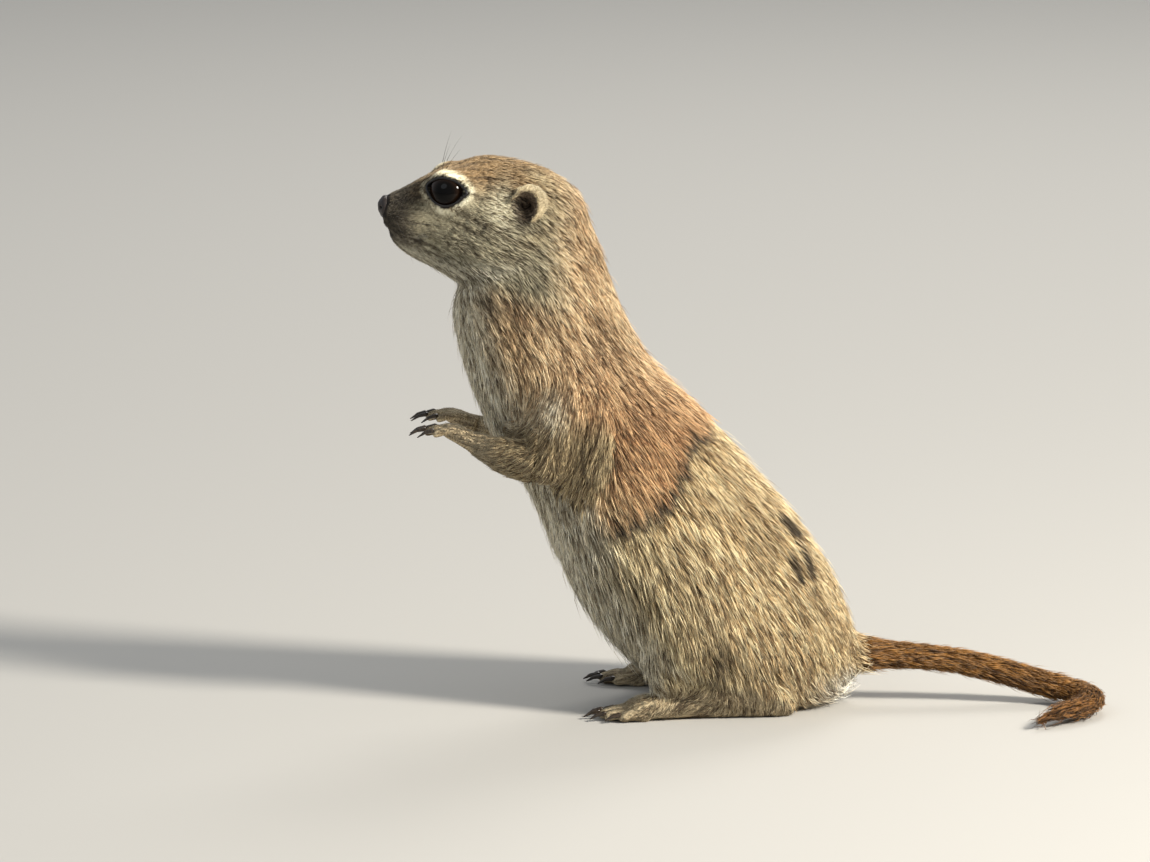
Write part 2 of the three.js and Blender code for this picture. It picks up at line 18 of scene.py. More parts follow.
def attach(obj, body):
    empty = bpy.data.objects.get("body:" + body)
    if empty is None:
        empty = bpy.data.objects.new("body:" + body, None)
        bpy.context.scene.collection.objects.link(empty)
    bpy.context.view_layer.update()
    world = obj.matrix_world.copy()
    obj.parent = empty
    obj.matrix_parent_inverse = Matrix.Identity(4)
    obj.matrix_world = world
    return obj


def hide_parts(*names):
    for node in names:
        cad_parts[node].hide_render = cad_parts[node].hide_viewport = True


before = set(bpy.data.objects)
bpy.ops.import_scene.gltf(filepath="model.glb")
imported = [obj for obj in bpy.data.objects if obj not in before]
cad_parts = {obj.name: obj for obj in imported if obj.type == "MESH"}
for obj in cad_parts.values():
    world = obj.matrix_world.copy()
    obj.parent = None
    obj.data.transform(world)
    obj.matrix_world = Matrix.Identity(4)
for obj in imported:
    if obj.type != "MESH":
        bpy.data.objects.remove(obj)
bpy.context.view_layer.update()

MM = 0.001
SIDES = {"left": -1, "right": 1}
SEED = 20417
HARD_PARTS = ("eye", "claw", "nose", "ear")
FLESH = [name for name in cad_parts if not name.startswith(HARD_PARTS)]

# Skin
VOXEL = 0.57
SWELL = 0.22  # closes the gaps between the solids
SAMPLES_PER_AREA = 1.5  # places for each square millimetre that tell the regions apart
# How far the skin gives way in each round of smoothing; the feet hold their shape
SKIN_ROUNDS = 26
GIVE = {"body": 0.54, "face": 0.27, "muzzle": 0.12, "nose": 0.036}
FACE_FROM = -56
MUZZLE_FROM = -73
NOSE_FROM = -76.5
THROAT_TOP = 88
SOLE_HEIGHT = 0.02
ARM_ENDS = [name for name in FLESH if name.startswith(("forearm", "hand"))]
ARM_VOXEL = 0.23
ARM_SWELL = 0.04
ELBOW = np.array([-44.4, 16, 54.4])
WRIST = np.array([-60.4, 10.7, 57.6])
TUCK = 4.0  # the length over which the skin of the forearm dives under that of the upper arm
EYE_AT = np.array([-65.7, 5.0, 110.8])
EYE_RADIUS = 4.5
EYE_TURN = np.array([-0.3, 1, 0.12])
FAR_OUTSIDE = 30.0  # given to all that lies behind the eye
LID_THICK = 0.5
# The opening between the lids, in the eye's own frame [back along the head, up]
LID_EDGE = [(-4.7, -1.3), (-3.8, 0.6), (-2.3, 2.2), (-0.2, 2.95), (2.0, 2.5), (3.7, 1.3), (4.8, 0.1),
            (3.4, -1.5), (1.4, -2.6), (-0.9, -3.0), (-3.0, -2.5)]
MOUTH_LINE = [(-82, 0, 103.4), (-80, 0, 102.5), (-78.2, 0, 101.4), (-76, 0, 100.6),
              (-73.2, 0, 100.5), (-71.6, 0, 101.4)]
MOUTH_DEPTH = 0.5
MOUTH_WIDE = 0.45
NOSE_AT = np.array([-80.2, 0, 107])
NOSE_REACH = np.array([2.7, 3.0, 2.6])
EAR_AT = np.array([-49.6, 11.4, 108.4])
EAR_CANAL = 2.1
EAR_MARK_REACH = np.array([1, 1.6, 1.2])
EAR_BARE_REACH = np.array([1, 1.5, 1.25])

# Coat: where it is known, which way it lies, how long it is and how far it stands off [degrees]
BODY_COAT = [
    ((-79, 0, 109), (1, 0, 0.3), 0.8, 10),
    ((-77, 4.5, 104), (1, 0.3, -0.1), 0.9, 10),
    ((-74, 0, 97), (0.9, 0, -0.4), 1.2, 12),
    ((-72, 6, 108), (1, 0.2, 0.1), 1.2, 10),
    ((-62, 0, 117), (1, 0, 0.02), 1.9, 12),
    ((-65, 7, 115.6), (1, 0.1, -0.05), 1.3, 8),
    ((-66, 9.5, 105), (1, 0.1, -0.25), 1.6, 10),
    ((-58, 12.5, 100), (0.92, 0.1, -0.4), 2.2, 13),
    ((-60, 6, 91), (0.6, 0.1, -0.8), 2.6, 16),
    ((-50, 0, 116), (1, 0, -0.2), 2.4, 13),
    ((-43, 11, 106), (0.75, 0, -0.66), 2.6, 15),
    ((-38, 0, 108), (0.45, 0, -0.9), 3.2, 15),
    ((-62, 0, 88), (0.3, 0, -0.95), 3, 18),
    ((-50, 13, 88), (0.45, 0.1, -0.88), 3.4, 18),
    ((-31, 0, 90), (0.35, 0, -0.94), 3.8, 15),
    ((-63, 0, 72), (0.12, 0, -1), 3.6, 15),
    ((-42, 16, 68), (0.3, 0, -0.95), 3.8, 16),
    ((-20, 0, 70), (0.7, 0, -0.71), 4.2, 14),
    ((-50, 0, 47), (0.2, 0, -0.98), 4, 14),
    ((-22, 20, 46), (0.5, 0, -0.87), 5.2, 15),
    ((-2, 0, 52), (0.66, 0, -0.75), 4.6, 13),
    ((-38, 0, 22), (0.35, 0, -0.94), 5, 15),
    ((-30, 18, 28), (0.42, 0, -0.9), 6, 17),
    ((-5, 24, 30), (0.38, 0, -0.92), 5.2, 15),
    ((-8, 24, 10), (0.3, 0, -0.95), 5.2, 16),
    ((-21, 20, 12), (0.25, 0, -0.96), 3.8, 16),
    ((14, 0, 32), (0.4, 0, -0.92), 4.4, 12),
    ((12, 16, 16), (0.5, 0, -0.85), 4.4, 15),
    ((19, 0, 13), (1, 0, -0.25), 3.4, 12),
    ((16, 0, 4), (0.8, 0, -0.6), 5.4, 24),
]
ARM_COAT = [
    ((-40, 17, 68), (-0.05, 0.05, -1), 3.4, 14),
    ((-42, 18, 56), (-0.2, 0, -0.98), 3, 16),
    ((-50, 15, 55), (-0.9, -0.25, -0.35), 2.2, 13),
    ((-60, 11, 58), (-1, -0.15, 0.3), 1.2, 9),
    ((-70, 9.6, 61), (-1, 0, 0.1), 0.75, 8),
]
LEG_COAT = [
    ((-19, 20, 12), (0.4, 0.1, -0.9), 3.4, 14),
    ((-6, 18, 8), (0.55, 0.1, -0.83), 2.8, 14),
    ((4, 16, 4), (-0.3, 0, -0.95), 1.6, 12),
    ((-12, 17.5, 5), (-1, 0.1, -0.15), 1.3, 10),
    ((-31, 20, 2.4), (-1, 0.15, -0.1), 0.8, 8),
]
TAIL_LINE = [(19, 0, 10.6), (27, 0, 10.1), (36, -0.2, 9.6), (45, -0.5, 8.3), (53, -1, 6.3),
             (60.4, -2, 4.3), (66.4, -4.8, 3.1), (69.8, -10, 2.8), (69.6, -16.4, 2.7),
             (66.4, -22.2, 2.5), (62, -27.2, 2.1), (58.6, -30.8, 1.6)]
BODY_LINE = [(-82, 0, 105), (-66, 0, 104), (-50, 0, 102), (-46, 0, 90), (-41, 0, 72),
             (-28, 0, 52), (-14, 0, 36), (-4, 0, 20), (8, 0, 11), (21, 0, 9)]
ARM_LINE = [(-38, 10, 76), (-43, 15, 58), (-46, 15.6, 54.6), (-60, 10.8, 57.6), (-74, 9, 61)]
LEG_LINE = [(-22, 19, 14), (0, 17, 6), (6, 16, 3.6), (-14, 17.6, 3), (-36, 20.6, 1.4)]
# Each part's own line, and where its unwrap lies on the map: low and high edge
UNWRAP = {"body": (BODY_LINE, 0.02, 0.58), "tail": (TAIL_LINE, 0.61, 0.69),
          "arm": (ARM_LINE, 0.71, 0.84), "leg": (LEG_LINE, 0.86, 0.97)}
# What each solid belongs to, by how its name starts; the rest is the body
FAMILIES = {"tail": "tail", "upper_arm": "arm", "forearm": "arm", "hand": "arm", "shank": "leg",
            "foot": "leg"}
# The finish that each solid's coat takes, by how its name starts; the rest are limbs
COAT_SLOTS = {"head": "head_coat", "neck": "front_coat", "chest": "front_coat", "belly": "rear_coat",
              "thigh": "rear_coat", "tail": "tail_coat"}
COAT_SINK = 0.2  # how deep the skin lies under the outline, as a share of the coat's length
FIELD_ROUNDS = 24
BENT_FROM = 1.7  # hairs longer than this bend with the body; shorter ones are straight spikes
TUFTS = {"long": 118_000, "short": 72_000}
EAR_TUFTS = 3400
PIECE_TRIANGLES = 195_000
STREAK_STEPS = (-3.0, -2.4, -1.8, -1.2, -0.6, 0.6, 1.2, 1.8, 2.4, 3.0)
LOCK_STEPS = (-6.0, -4.5, -3.0, -1.5, 1.5, 3.0, 4.5, 6.0)
LOCK_SHADE = 0.34  # painted shade: how much darker the deepest lock is than the highest

# A tuft is a three-sided spike: shares of its length where it has rings, and their thickness
RINGS = {"long": [(0.0, 0.75), (0.42, 1.0)], "short": [(0.0, 1.0)]}
RING_SIDES = 3
ROOT_DEPTH = {"long": 0.15, "short": 0.12}
TUFT_THICK = 0.055
THICKER_BY_LENGTH = 0.0145
TUFT_FLATNESS = 0.6
TUFT_HEIGHT = 0.03  # the least height over the floor
CLUMPS_PER_TUFT = 1 / 14
CLUMP_GATHER = 0.3
CLUMP_LEAN = 0.13
OWN_LEAN = 0.09
# One tuft in nine is of guard hair: longer and thinner, and it stands off further
GUARD = {"share": 0.11, "length": 1.28, "lift": 1.5, "thick": 0.7}


def srgb(*channels):
    """A colour as seen on screen, from 0 to 255, as the linear values that shaders take."""
    shares = np.array(channels, float) / 255
    return np.where(shares < 0.04045, shares / 12.92, ((shares + 0.055) / 1.055) ** 2.4)


CINNAMON = srgb(198, 152, 108)
SANDY = srgb(230, 200, 151)
FLANK = srgb(198, 180, 138)
BELLY = srgb(226, 216, 188)
THROAT = srgb(206, 200, 178)
# The nape is partly its own pale buff and partly painted light
NAPE = srgb(236, 206, 162)
# The crown is partly its own brown and partly painted shade
CROWN = srgb(132, 108, 76)
BRIDGE = srgb(100, 84, 60)
CHEEK = srgb(156, 148, 122)
# The muzzle is darker than its own fur: partly its own grey brown, partly painted shade
MUZZLE = srgb(60, 54, 44)
LIPS = srgb(118, 110, 94)
EYE_RING = srgb(226, 216, 182)
BY_EAR = srgb(206, 198, 168)
EAR_EDGE = srgb(176, 160, 126)
EAR_INSIDE = srgb(98, 84, 68)
ARM = srgb(168, 148, 112)
PAW = srgb(172, 154, 122)
TAIL = srgb(126, 86, 40)
TAIL_END = srgb(100, 66, 34)
FLUFF = srgb(248, 240, 220)
MOULT_LINE = srgb(58, 52, 44)
# Dark marks of the coat, and also the painted shade in the parting on the haunch
SPOT_AND_SHADE = srgb(46, 38, 30)
LID_SKIN = srgb(24, 20, 18)
PUPIL = srgb(6, 5, 4)
IRIS = srgb(34, 22, 14)


def eased(low, high, value):
    share = np.clip((value - low) / (high - low), 0, 1)
    return share * share * (3 - 2 * share)


def bell(distance):
    return np.exp(-distance * distance)


def unit(vectors):
    return vectors / np.maximum(np.linalg.norm(vectors, axis=-1, keepdims=True), 1e-9)


# Places on the animal

BODY_WAY = np.array([0.53, 0, -0.85])  # from the shoulders to the rump
BACKWARD = np.array([0.85, 0, 0.53])  # from the belly to the back


def mirrored(place, side):
    """A place of the right side, or its twin on the left where the side is -1."""
    return np.array(place) * [1, side, 1]


def side_signs(points):
    """Factors that fold each point over to the right side, or back to its own."""
    signs = np.ones_like(points)
    signs[:, 1] = np.sign(points[:, 1])
    return signs


def reaches_off(points, at, reach):
    """How far each point is from a place, counted in its reach along each axis."""
    return np.linalg.norm((points - at) / reach, axis=1)


def on_line(points, line):
    """The nearest place on a line: its share of the way, itself, its direction and how far off it is."""
    line = np.array(line, float)
    legs = line[1:] - line[:-1]
    long = np.linalg.norm(legs, axis=1)
    start = np.concatenate([[0], np.cumsum(long)])
    best = np.full(len(points), np.inf)
    share, place, way = np.zeros(len(points)), np.zeros_like(points), np.zeros_like(points)
    for k, leg in enumerate(legs):
        t = np.clip((points - line[k]) @ leg / (long[k] ** 2), 0, 1)
        spot = line[k] + t[:, None] * leg
        far = np.linalg.norm(points - spot, axis=1)
        nearer = far < best
        best[nearer] = far[nearer]
        share[nearer] = (start[k] + t[nearer] * long[k]) / start[-1]
        place[nearer] = spot[nearer]
        way[nearer] = leg / long[k]
    return share, place, way, best


def eye_axes(side):
    """The eye's own frame: back along the head, up, and outwards."""
    look = unit(EYE_TURN * [1, side, 1])
    back = unit(np.array([1.0, 0, 0]) - look * look[0])
    up = np.cross(look, back) * side
    return back, up, look


def rim_curve(count=72):
    """The edge of the lids as a smooth closed curve in the eye's frame."""
    knots = np.array(LID_EDGE, float)
    total = len(knots)
    points = []
    for k in range(count):
        way = k * total / count
        base, t = int(way), way % 1
        a, b, c, d = (knots[(base + n) % total] for n in (-1, 0, 1, 2))
        points.append(0.5 * (2 * b + (c - a) * t + (2 * a - 5 * b + 4 * c - d) * t ** 2
                             + (3 * b - a - 3 * c + d) * t ** 3))
    return np.array(points)


RIM = rim_curve()


def off_line(points, line):
    """How far each point is from a line, seen from the animal's side."""
    return on_line(points * [1, 0, 1], np.array(line) * [1, 0, 1])[3]


def outside_lids(points, side):
    """Millimetres outside the edge of the lids, negative inside, seen along the eye's look."""
    back, up, look = eye_axes(side)
    away = points - mirrored(EYE_AT, side)
    flat = np.stack([away @ back, away @ up], axis=1)
    far = np.full(len(points), np.inf)
    inside = np.zeros(len(points), bool)
    for start, end in zip(RIM, np.roll(RIM, -1, axis=0)):
        leg = end - start
        t = np.clip((flat - start) @ leg / (leg @ leg), 0, 1)
        far = np.minimum(far, np.linalg.norm(flat - start - t[:, None] * leg, axis=1))
        level = (start[1] > flat[:, 1]) != (end[1] > flat[:, 1])
        drop = leg[1] if abs(leg[1]) > 1e-9 else 1e-9
        inside ^= level & (flat[:, 0] < (flat[:, 1] - start[1]) * leg[0] / drop + start[0])
    far = np.where(inside, -far, far)
    return np.where(away @ look > 0, far, FAR_OUTSIDE)


# Markings

MOULT_ACROSS = [-8, -5.4, -1.2, 4.2, 8.7, 11.1, 15, 17.4, 22.5, 30]
MOULT_ALONG = [-50.2, -49.6, -48.8, -48.4, -48.8, -51.2, -53.2, -56.4, -55.4, -55]
# Short dark streaks low on the back: where each starts and ends
STREAKS = [((4.6, 0, 40.2), (8.0, 0, 36.4)), ((7.0, 0, 41.0), (9.8, 0, 36.6)),
           ((6.6, 0, 32.6), (8.8, 0, 27.8)), ((9.0, 0, 33.4), (11.0, 0, 28.6))]
# Where the coat parts low on the haunch, and a dark line is painted there as shade in the gap
PARTING = [(-10.2, 24, 7), (-8.6, 24, 10.5), (-8.2, 24, 15)]
# Where pale hairs of the belly show behind the arm
PALE_EDGE = [(-44.5, 0, 66), (-43.5, 0, 55), (-38.5, 0, 45), (-33.5, 0, 34)]
# Dark flecks on the head and neck: where, and how wide
FLECKS = [((-51.6, 12, 104.6), 1.3), ((-50.0, 12, 103.0), 1.0), ((-58.5, 11, 104.2), 1.2),
          ((-46.2, 12, 102.8), 0.8), ((-57.6, 10, 88.4), 1.5), ((-56.2, 10, 86.0), 1.2),
          ((-46.8, 13, 91.2), 1.3), ((-62.0, 10, 99.0), 0.7)]
FLECK_SHAPE = np.array([1, 0.3, 1.2])


def ahead_of_moult(points):
    """Millimetres in front of the ragged line where the new coat ends."""
    across = points @ BACKWARD
    ragged = 0.7 * np.sin(across * 1.9) + 0.5 * np.sin(across * 4.3 + points[:, 1])
    return np.interp(across, MOULT_ACROSS, MOULT_ALONG) + ragged - points @ BODY_WAY


def markings(points, normals, family):
    """The colour of the coat at each place, before the banding of single hairs."""
    x, z = points[:, 0], points[:, 2]
    side = np.abs(points[:, 1])
    front = ahead_of_moult(points)
    under = eased(0.2, 0.75, -(normals @ BACKWARD))
    low = eased(10, -8, points @ BACKWARD)
    head = eased(-38, -43, x) * eased(86, 92, z + 0.35 * (x + 52))
    top = head * eased(0.1, 0.7, normals[:, 2]) * eased(106, 111, z)
    # Each layer is laid over those before it, by its share at each place
    layers = [
        (FLANK, 0.8 * low),
        (CINNAMON, eased(-1.2, 1.2, front) * (1 - 0.45 * low)),
        # Paler on the upper neck and nape: partly its own colour, partly painted light
        (NAPE, 0.6 * eased(56, 84, z) * eased(-56, -44, x - 0.2 * (z - 80))),
        (CHEEK, 0.45 * bell((z - 90) / 8) * eased(-38, -50, x)),
        (BELLY, under),
        (BELLY, 0.75 * bell(off_line(points, PALE_EDGE) / 3.2)),
        (MOULT_LINE, bell((front + 0.2) / 1.05) * (1 - under) * eased(3, 8, side)),
    ]
    layers += [(SPOT_AND_SHADE, 0.95 * eased(1.05, 0.4, off_line(points, streak)) * eased(2.5, 5, side))
               for streak in STREAKS]
    layers += [
        (FLUFF, bell((x - 17) / 6) * eased(10, 5, z) * bell(side / 16)),
        # Painted shade: a dark line in the gap where the coat parts on the haunch
        (SPOT_AND_SHADE, 0.75 * bell(off_line(points, PARTING) / 1.7) * eased(12, 18, side)),
        (CHEEK, head),
        # Top of the head: partly its own brown, partly painted shade
        (CROWN, top),
        # Paler at the back of the head: partly its own colour, partly painted light, as on the nape
        (NAPE, head * eased(-47, -40, x) * 0.7),
        (BRIDGE, top * eased(-64, -70, x)),
        (THROAT, head * eased(-0.1, -0.7, normals[:, 2])),
        # The front of the face is darkened, partly as painted shade
        (MUZZLE, head * eased(-70, -76, x) * eased(97, 101, z)),
        (LID_SKIN, eased(1.25, 1.0, reaches_off(points, NOSE_AT, NOSE_REACH))),
        (LIPS, 0.7 * head * bell((z - 100.5) / 1.4) * eased(-70, -74, x)),
    ]
    for sign in SIDES.values():
        lids = outside_lids(points, sign)
        ear = reaches_off(points, mirrored(EAR_AT, sign), EAR_MARK_REACH)
        layers += [
            (EYE_RING, 0.97 * eased(2.1, 1.2, lids) * (1 - 0.7 * bell((x + 70.5) / 2.0))),
            (LID_SKIN, eased(0.62, 0.42, lids)),
            (EAR_EDGE, 0.7 * bell((ear - 6.2) / 1.6) * eased(-52, -47, x)),
            (BY_EAR, 0.8 * bell((x + 54.6) / 2.2) * bell((z - 108) / 4) * head),
            (EAR_INSIDE, eased(3.6, 2.4, ear)),
        ]
    folded = points * side_signs(points)
    layers += [(SPOT_AND_SHADE, 0.7 * bell(np.linalg.norm((folded - at) * FLECK_SHAPE, axis=1) / wide))
               for at, wide in FLECKS]
    arm, leg, tail = (family == word for word in ("arm", "leg", "tail"))
    way = on_line(points, TAIL_LINE)[0]
    layers += [
        (ARM, arm * eased(66, 58, z)),
        (PAW, arm * eased(-54, -60, x)),
        (PAW, leg * eased(8, 5, z)),
        (TAIL, tail * eased(-0.02, 0.06, way)),
        (TAIL_END, tail * 0.7 * eased(0.55, 0.95, way)),
    ]
    colour = np.tile(SANDY, (len(points), 1))
    for over, share in layers:
        colour = colour + (over - colour) * np.clip(share, 0, 1)[:, None]
    return colour


# Reading and writing meshes

def read(items, name, width, kind=np.float32):
    """One property of all of a mesh's vertices, edges or faces, with a row for each."""
    flat = np.empty(len(items) * width, kind)
    items.foreach_get(name, flat)
    return flat.reshape(-1, width)


def coordinates(mesh):
    return read(mesh.vertices, "co", 3).astype(float) / MM


def place_vertices(mesh, points):
    mesh.vertices.foreach_set("co", (points * MM).astype(np.float32).ravel())
    mesh.update()


def vertex_normals(mesh):
    return read(mesh.vertex_normals, "vector", 3).astype(float)


def triangles_of(mesh):
    mesh.calc_loop_triangles()
    return read(mesh.loop_triangles, "vertices", 3, np.int32)


def edges_of(mesh):
    return read(mesh.edges, "vertices", 2, np.int32)


def neighbour_mean(values, edges):
    """The mean of each vertex's neighbours."""
    count = len(values)
    number = np.bincount(edges.ravel(), minlength=count)
    ends, others = edges.T.ravel(), edges[:, ::-1].T.ravel()
    sums = [np.bincount(ends, weights=values[others, n], minlength=count)
            for n in range(values.shape[1])]
    return np.stack(sums, axis=1) / np.maximum(number, 1)[:, None]


def paint(mesh, name, values, kind="FLOAT"):
    attribute = mesh.attributes.new(name, kind, "POINT")
    if kind == "FLOAT_COLOR":
        full = np.ones((len(values), 4), np.float32)
        full[:, :3] = values
        attribute.data.foreach_set("color", full.ravel())
    else:
        attribute.data.foreach_set("value", np.asarray(values, np.float32))


def shade_smooth(mesh):
    mesh.polygons.foreach_set("use_smooth", np.ones(len(mesh.polygons), bool))


def piece_from(name, mesh, material, slot, *nodes):
    """Puts a mesh in the scene as a named piece of the animal."""
    shade_smooth(mesh)
    mesh.materials.clear()
    mesh.materials.append(material)
    piece = bpy.data.objects.new(name, mesh)
    bpy.context.scene.collection.objects.link(piece)
    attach(piece, "root")
    if nodes:
        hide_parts(*nodes)
    return piece


def evened(mesh, voxel):
    """A mesh made again of even quads, with overlaps dissolved."""
    holder = bpy.data.objects.new("holder", mesh)
    bpy.context.scene.collection.objects.link(holder)
    remesh = holder.modifiers.new("even", "REMESH")
    remesh.mode = "VOXEL"
    remesh.voxel_size = voxel * MM
    bpy.context.view_layer.update()
    seen = holder.evaluated_get(bpy.context.evaluated_depsgraph_get())
    made = bpy.data.meshes.new_from_object(seen)
    bpy.data.objects.remove(holder)
    bpy.data.meshes.remove(mesh)
    return made


def smoothed(values, edges, rounds, share=1.0):
    """Rows of values that move in each round by a share of the way to their neighbours' mean."""
    for _ in range(rounds):
        values = values + (neighbour_mean(values, edges) - values) * share
    return values


def smooth_mesh(mesh, rounds, share):
    place_vertices(mesh, smoothed(coordinates(mesh), edges_of(mesh), rounds, share))
    return mesh


def mesh_from(form, name):
    """Turns an edited form into a mesh and lets go of the form."""
    mesh = bpy.data.meshes.new(name)
    form.to_mesh(mesh)
    form.free()
    return mesh


def swollen_solids(names, swell, balls=()):
    """One mesh of several solids, each swollen so that the thin gaps between them close."""
    form = bmesh.new()
    for name in names:
        part = bmesh.new()
        part.from_mesh(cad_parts[name].data)
        bmesh.ops.remove_doubles(part, verts=part.verts, dist=1e-6)
        part.normal_update()
        for vertex in part.verts:
            vertex.co += vertex.normal * swell * MM
        swollen = mesh_from(part, name)
        form.from_mesh(swollen)
        bpy.data.meshes.remove(swollen)
    for at, radius in balls:
        place = Matrix.Translation(Vector(at) * MM)
        bmesh.ops.create_uvsphere(form, u_segments=32, v_segments=20, radius=radius * MM, matrix=place)
    return mesh_from(form, "form")


def joined_meshes(name, *meshes):
    form = bmesh.new()
    for mesh in meshes:
        form.from_mesh(mesh)
        bpy.data.meshes.remove(mesh)
    return mesh_from(form, name)


def refined(names, voxel, rounds, swell):
    """Small solids made again finely and smoothed."""
    return smooth_mesh(evened(swollen_solids(names, swell), voxel), rounds, 0.6)


# Regions

def areas_of(points, triangles):
    a, b, c = (points[triangles[:, n]] for n in range(3))
    return np.linalg.norm(np.cross(b - a, c - a), axis=1) / 2


def random_spots(triangles, weight, count, rng):
    """Triangles picked by weight, and for each the shares of its corners in a random place on it."""
    pick = rng.choice(len(triangles), count, p=weight / weight.sum())
    u, v = rng.random((2, count))
    turned = u + v > 1
    u[turned], v[turned] = 1 - u[turned], 1 - v[turned]
    return triangles[pick], np.stack([1 - u - v, u, v], axis=1)[:, :, None]


def region_finder():
    """A function that tells which solid each place belongs to."""
    rng = np.random.default_rng(SEED)
    samples, owners = [], []
    for name in sorted(FLESH):
        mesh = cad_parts[name].data
        points, triangles = coordinates(mesh), triangles_of(mesh)
        area = areas_of(points, triangles)
        count = int(area.sum() * SAMPLES_PER_AREA)
        corners, shares = random_spots(triangles, area, count, rng)
        samples.append((points[corners] * shares).sum(1))
        owners += [name] * count
    tree = tree_of(np.concatenate(samples))
    owners = np.array(owners)

    def find(points):
        return owners[nearest_in(tree, points)]

    return find


def tree_of(points):
    tree = KDTree(len(points))
    for index, point in enumerate(points.tolist()):
        tree.insert(point, index)
    tree.balance()
    return tree


def nearest_in(tree, points):
    return [tree.find(point)[1] for point in points.tolist()]


def sorted_by(regions, starts, rest):
    """A word for each region by how its name starts, or else the word for the rest."""
    words = np.full(len(regions), rest, dtype="<U12")
    for start, word in starts.items():
        words[np.char.startswith(regions, start)] = word
    return words


def coat_at(points, family):
    """The lie, length and lift of the coat, from the places where they are known."""
    lie = np.zeros_like(points)
    length, lift = np.zeros((2, len(points)))
    signs = side_signs(points)
    for word, table in {"body": BODY_COAT, "arm": ARM_COAT, "leg": LEG_COAT}.items():
        mine = family == word
        folded = points[mine] * signs[mine]
        places, ways, lengths, lifts = (np.array(column, float) for column in zip(*table))
        weights = np.stack([1 / (np.linalg.norm(folded - at, axis=1) ** 3 + 20) for at in places])
        weights /= weights.sum(0)
        lie[mine] = (weights.T @ ways) * signs[mine]
        length[mine] = weights.T @ lengths
        lift[mine] = weights.T @ lifts
    tail = family == "tail"
    share, _, way, _ = on_line(points[tail], TAIL_LINE)
    lie[tail] = way
    length[tail] = 2.8 + 2.6 * eased(0.6, 1, share)
    lift[tail] = 14 + 4 * eased(0.7, 1, share)
    return lie, length, lift


# Skin

def shape_eye_sockets(points):
    """Lays the lids on each eyeball and sinks what lies inside their edge."""
    for sign in SIDES.values():
        middle = mirrored(EYE_AT, sign)
        away = points - middle
        far = np.linalg.norm(away, axis=1)
        edge = outside_lids(points, sign)
        near = (far < EYE_RADIUS + 2.2) & (edge < 6)
        held = np.maximum(far, EYE_RADIUS + LID_THICK * eased(-0.1, 0.9, edge))
        target = far + (held - far) * np.maximum(eased(2.4, 0.6, edge), 0.6)
        target = np.where(edge < 0.25, np.minimum(target, EYE_RADIUS - 0.5), target)
        points[near] = (middle + unit(away) * target[:, None])[near]
    return points


def carve_mouth(points, normals):
    """Presses the line between the lips into the muzzle."""
    muzzle = eased(-69, -72, points[:, 0])
    depth = MOUTH_DEPTH * bell(off_line(points, MOUTH_LINE) / MOUTH_WIDE) * muzzle
    return points - normals * depth[:, None]


def past_elbow(points):
    """Millimetres past the elbow, towards the wrist."""
    return (points * side_signs(points) - ELBOW) @ unit(WRIST - ELBOW)


def sink(mesh, points, depth, rounds):
    """Lowers a skin along its own normals by a depth that is first evened out."""
    place_vertices(mesh, points)
    return points - vertex_normals(mesh) * smoothed(depth[:, None], edges_of(mesh), rounds)


def grow_body_skin(regions_at):
    """The skin of all but the hands, and which of it lies under the skin of the arms."""
    balls = [(mirrored(EYE_AT, sign), EYE_RADIUS + 0.3) for sign in SIDES.values()]
    solids = [name for name in FLESH if not name.startswith("hand")]
    mesh = evened(swollen_solids([*solids, "nose"], SWELL, balls), VOXEL)
    points, edges = coordinates(mesh), edges_of(mesh)
    regions = regions_at(points)
    foot = np.char.startswith(regions, "foot")
    face = (points[:, 0] < FACE_FROM) & (points[:, 2] > THROAT_TOP)
    give = np.where(foot, 0.0, np.where(face, GIVE["face"], GIVE["body"]))
    give[points[:, 0] < MUZZLE_FROM] = GIVE["muzzle"]
    give[points[:, 0] < NOSE_FROM] = GIVE["nose"]
    give = smoothed(give[:, None], edges, 3)
    points = smoothed(smoothed(points, edges, 2, 0.4), edges, SKIN_ROUNDS, give)
    _, length, _ = coat_at(points, sorted_by(regions, FAMILIES, "body"))
    depth = np.where(foot, 0.3, 1) * (SWELL + COAT_SINK * np.maximum(length - 0.6, 0))
    under = np.isin(regions, ARM_ENDS)
    depth += 0.5 * under * eased(0, TUCK, past_elbow(points))
    points = sink(mesh, points, depth, 4)
    points = carve_mouth(points, vertex_normals(mesh))
    points = shape_eye_sockets(points)
    points[:, 2] = np.maximum(points[:, 2], SOLE_HEIGHT)
    place_vertices(mesh, points)
    return mesh, under & (past_elbow(points) > 0.8 * TUCK)


def grow_arm_skin(regions_at):
    """The finer skin of the forearms and hands, whose fingers stay apart."""
    mesh = refined(ARM_ENDS, ARM_VOXEL, 3, ARM_SWELL)
    points = coordinates(mesh)
    _, length, _ = coat_at(points, sorted_by(regions_at(points), FAMILIES, "body"))
    depth = COAT_SINK * np.maximum(length - 1, 0) + 0.9 * eased(TUCK, 0, past_elbow(points))
    place_vertices(mesh, sink(mesh, points, depth, 6))
    return mesh


def part_of(mesh, name, first, last):
    """A copy of some of a mesh, by the numbers of its vertices."""
    form = bmesh.new()
    form.from_mesh(mesh)
    gone = [vertex for vertex in form.verts if not first <= vertex.index < last]
    bmesh.ops.delete(form, geom=gone, context="VERTS")
    return mesh_from(form, name)


# Tufts

def streaks_along(points, lie, tree, noise, steps):
    """A value for each place, from 0 to 1, that changes slowly along the lie of the coat."""
    total = noise.copy()
    for step in steps:
        total += noise[nearest_in(tree, points + lie * step)]
    rank = np.empty(len(points))
    rank[np.argsort(total)] = np.linspace(0, 1, len(points))
    return rank


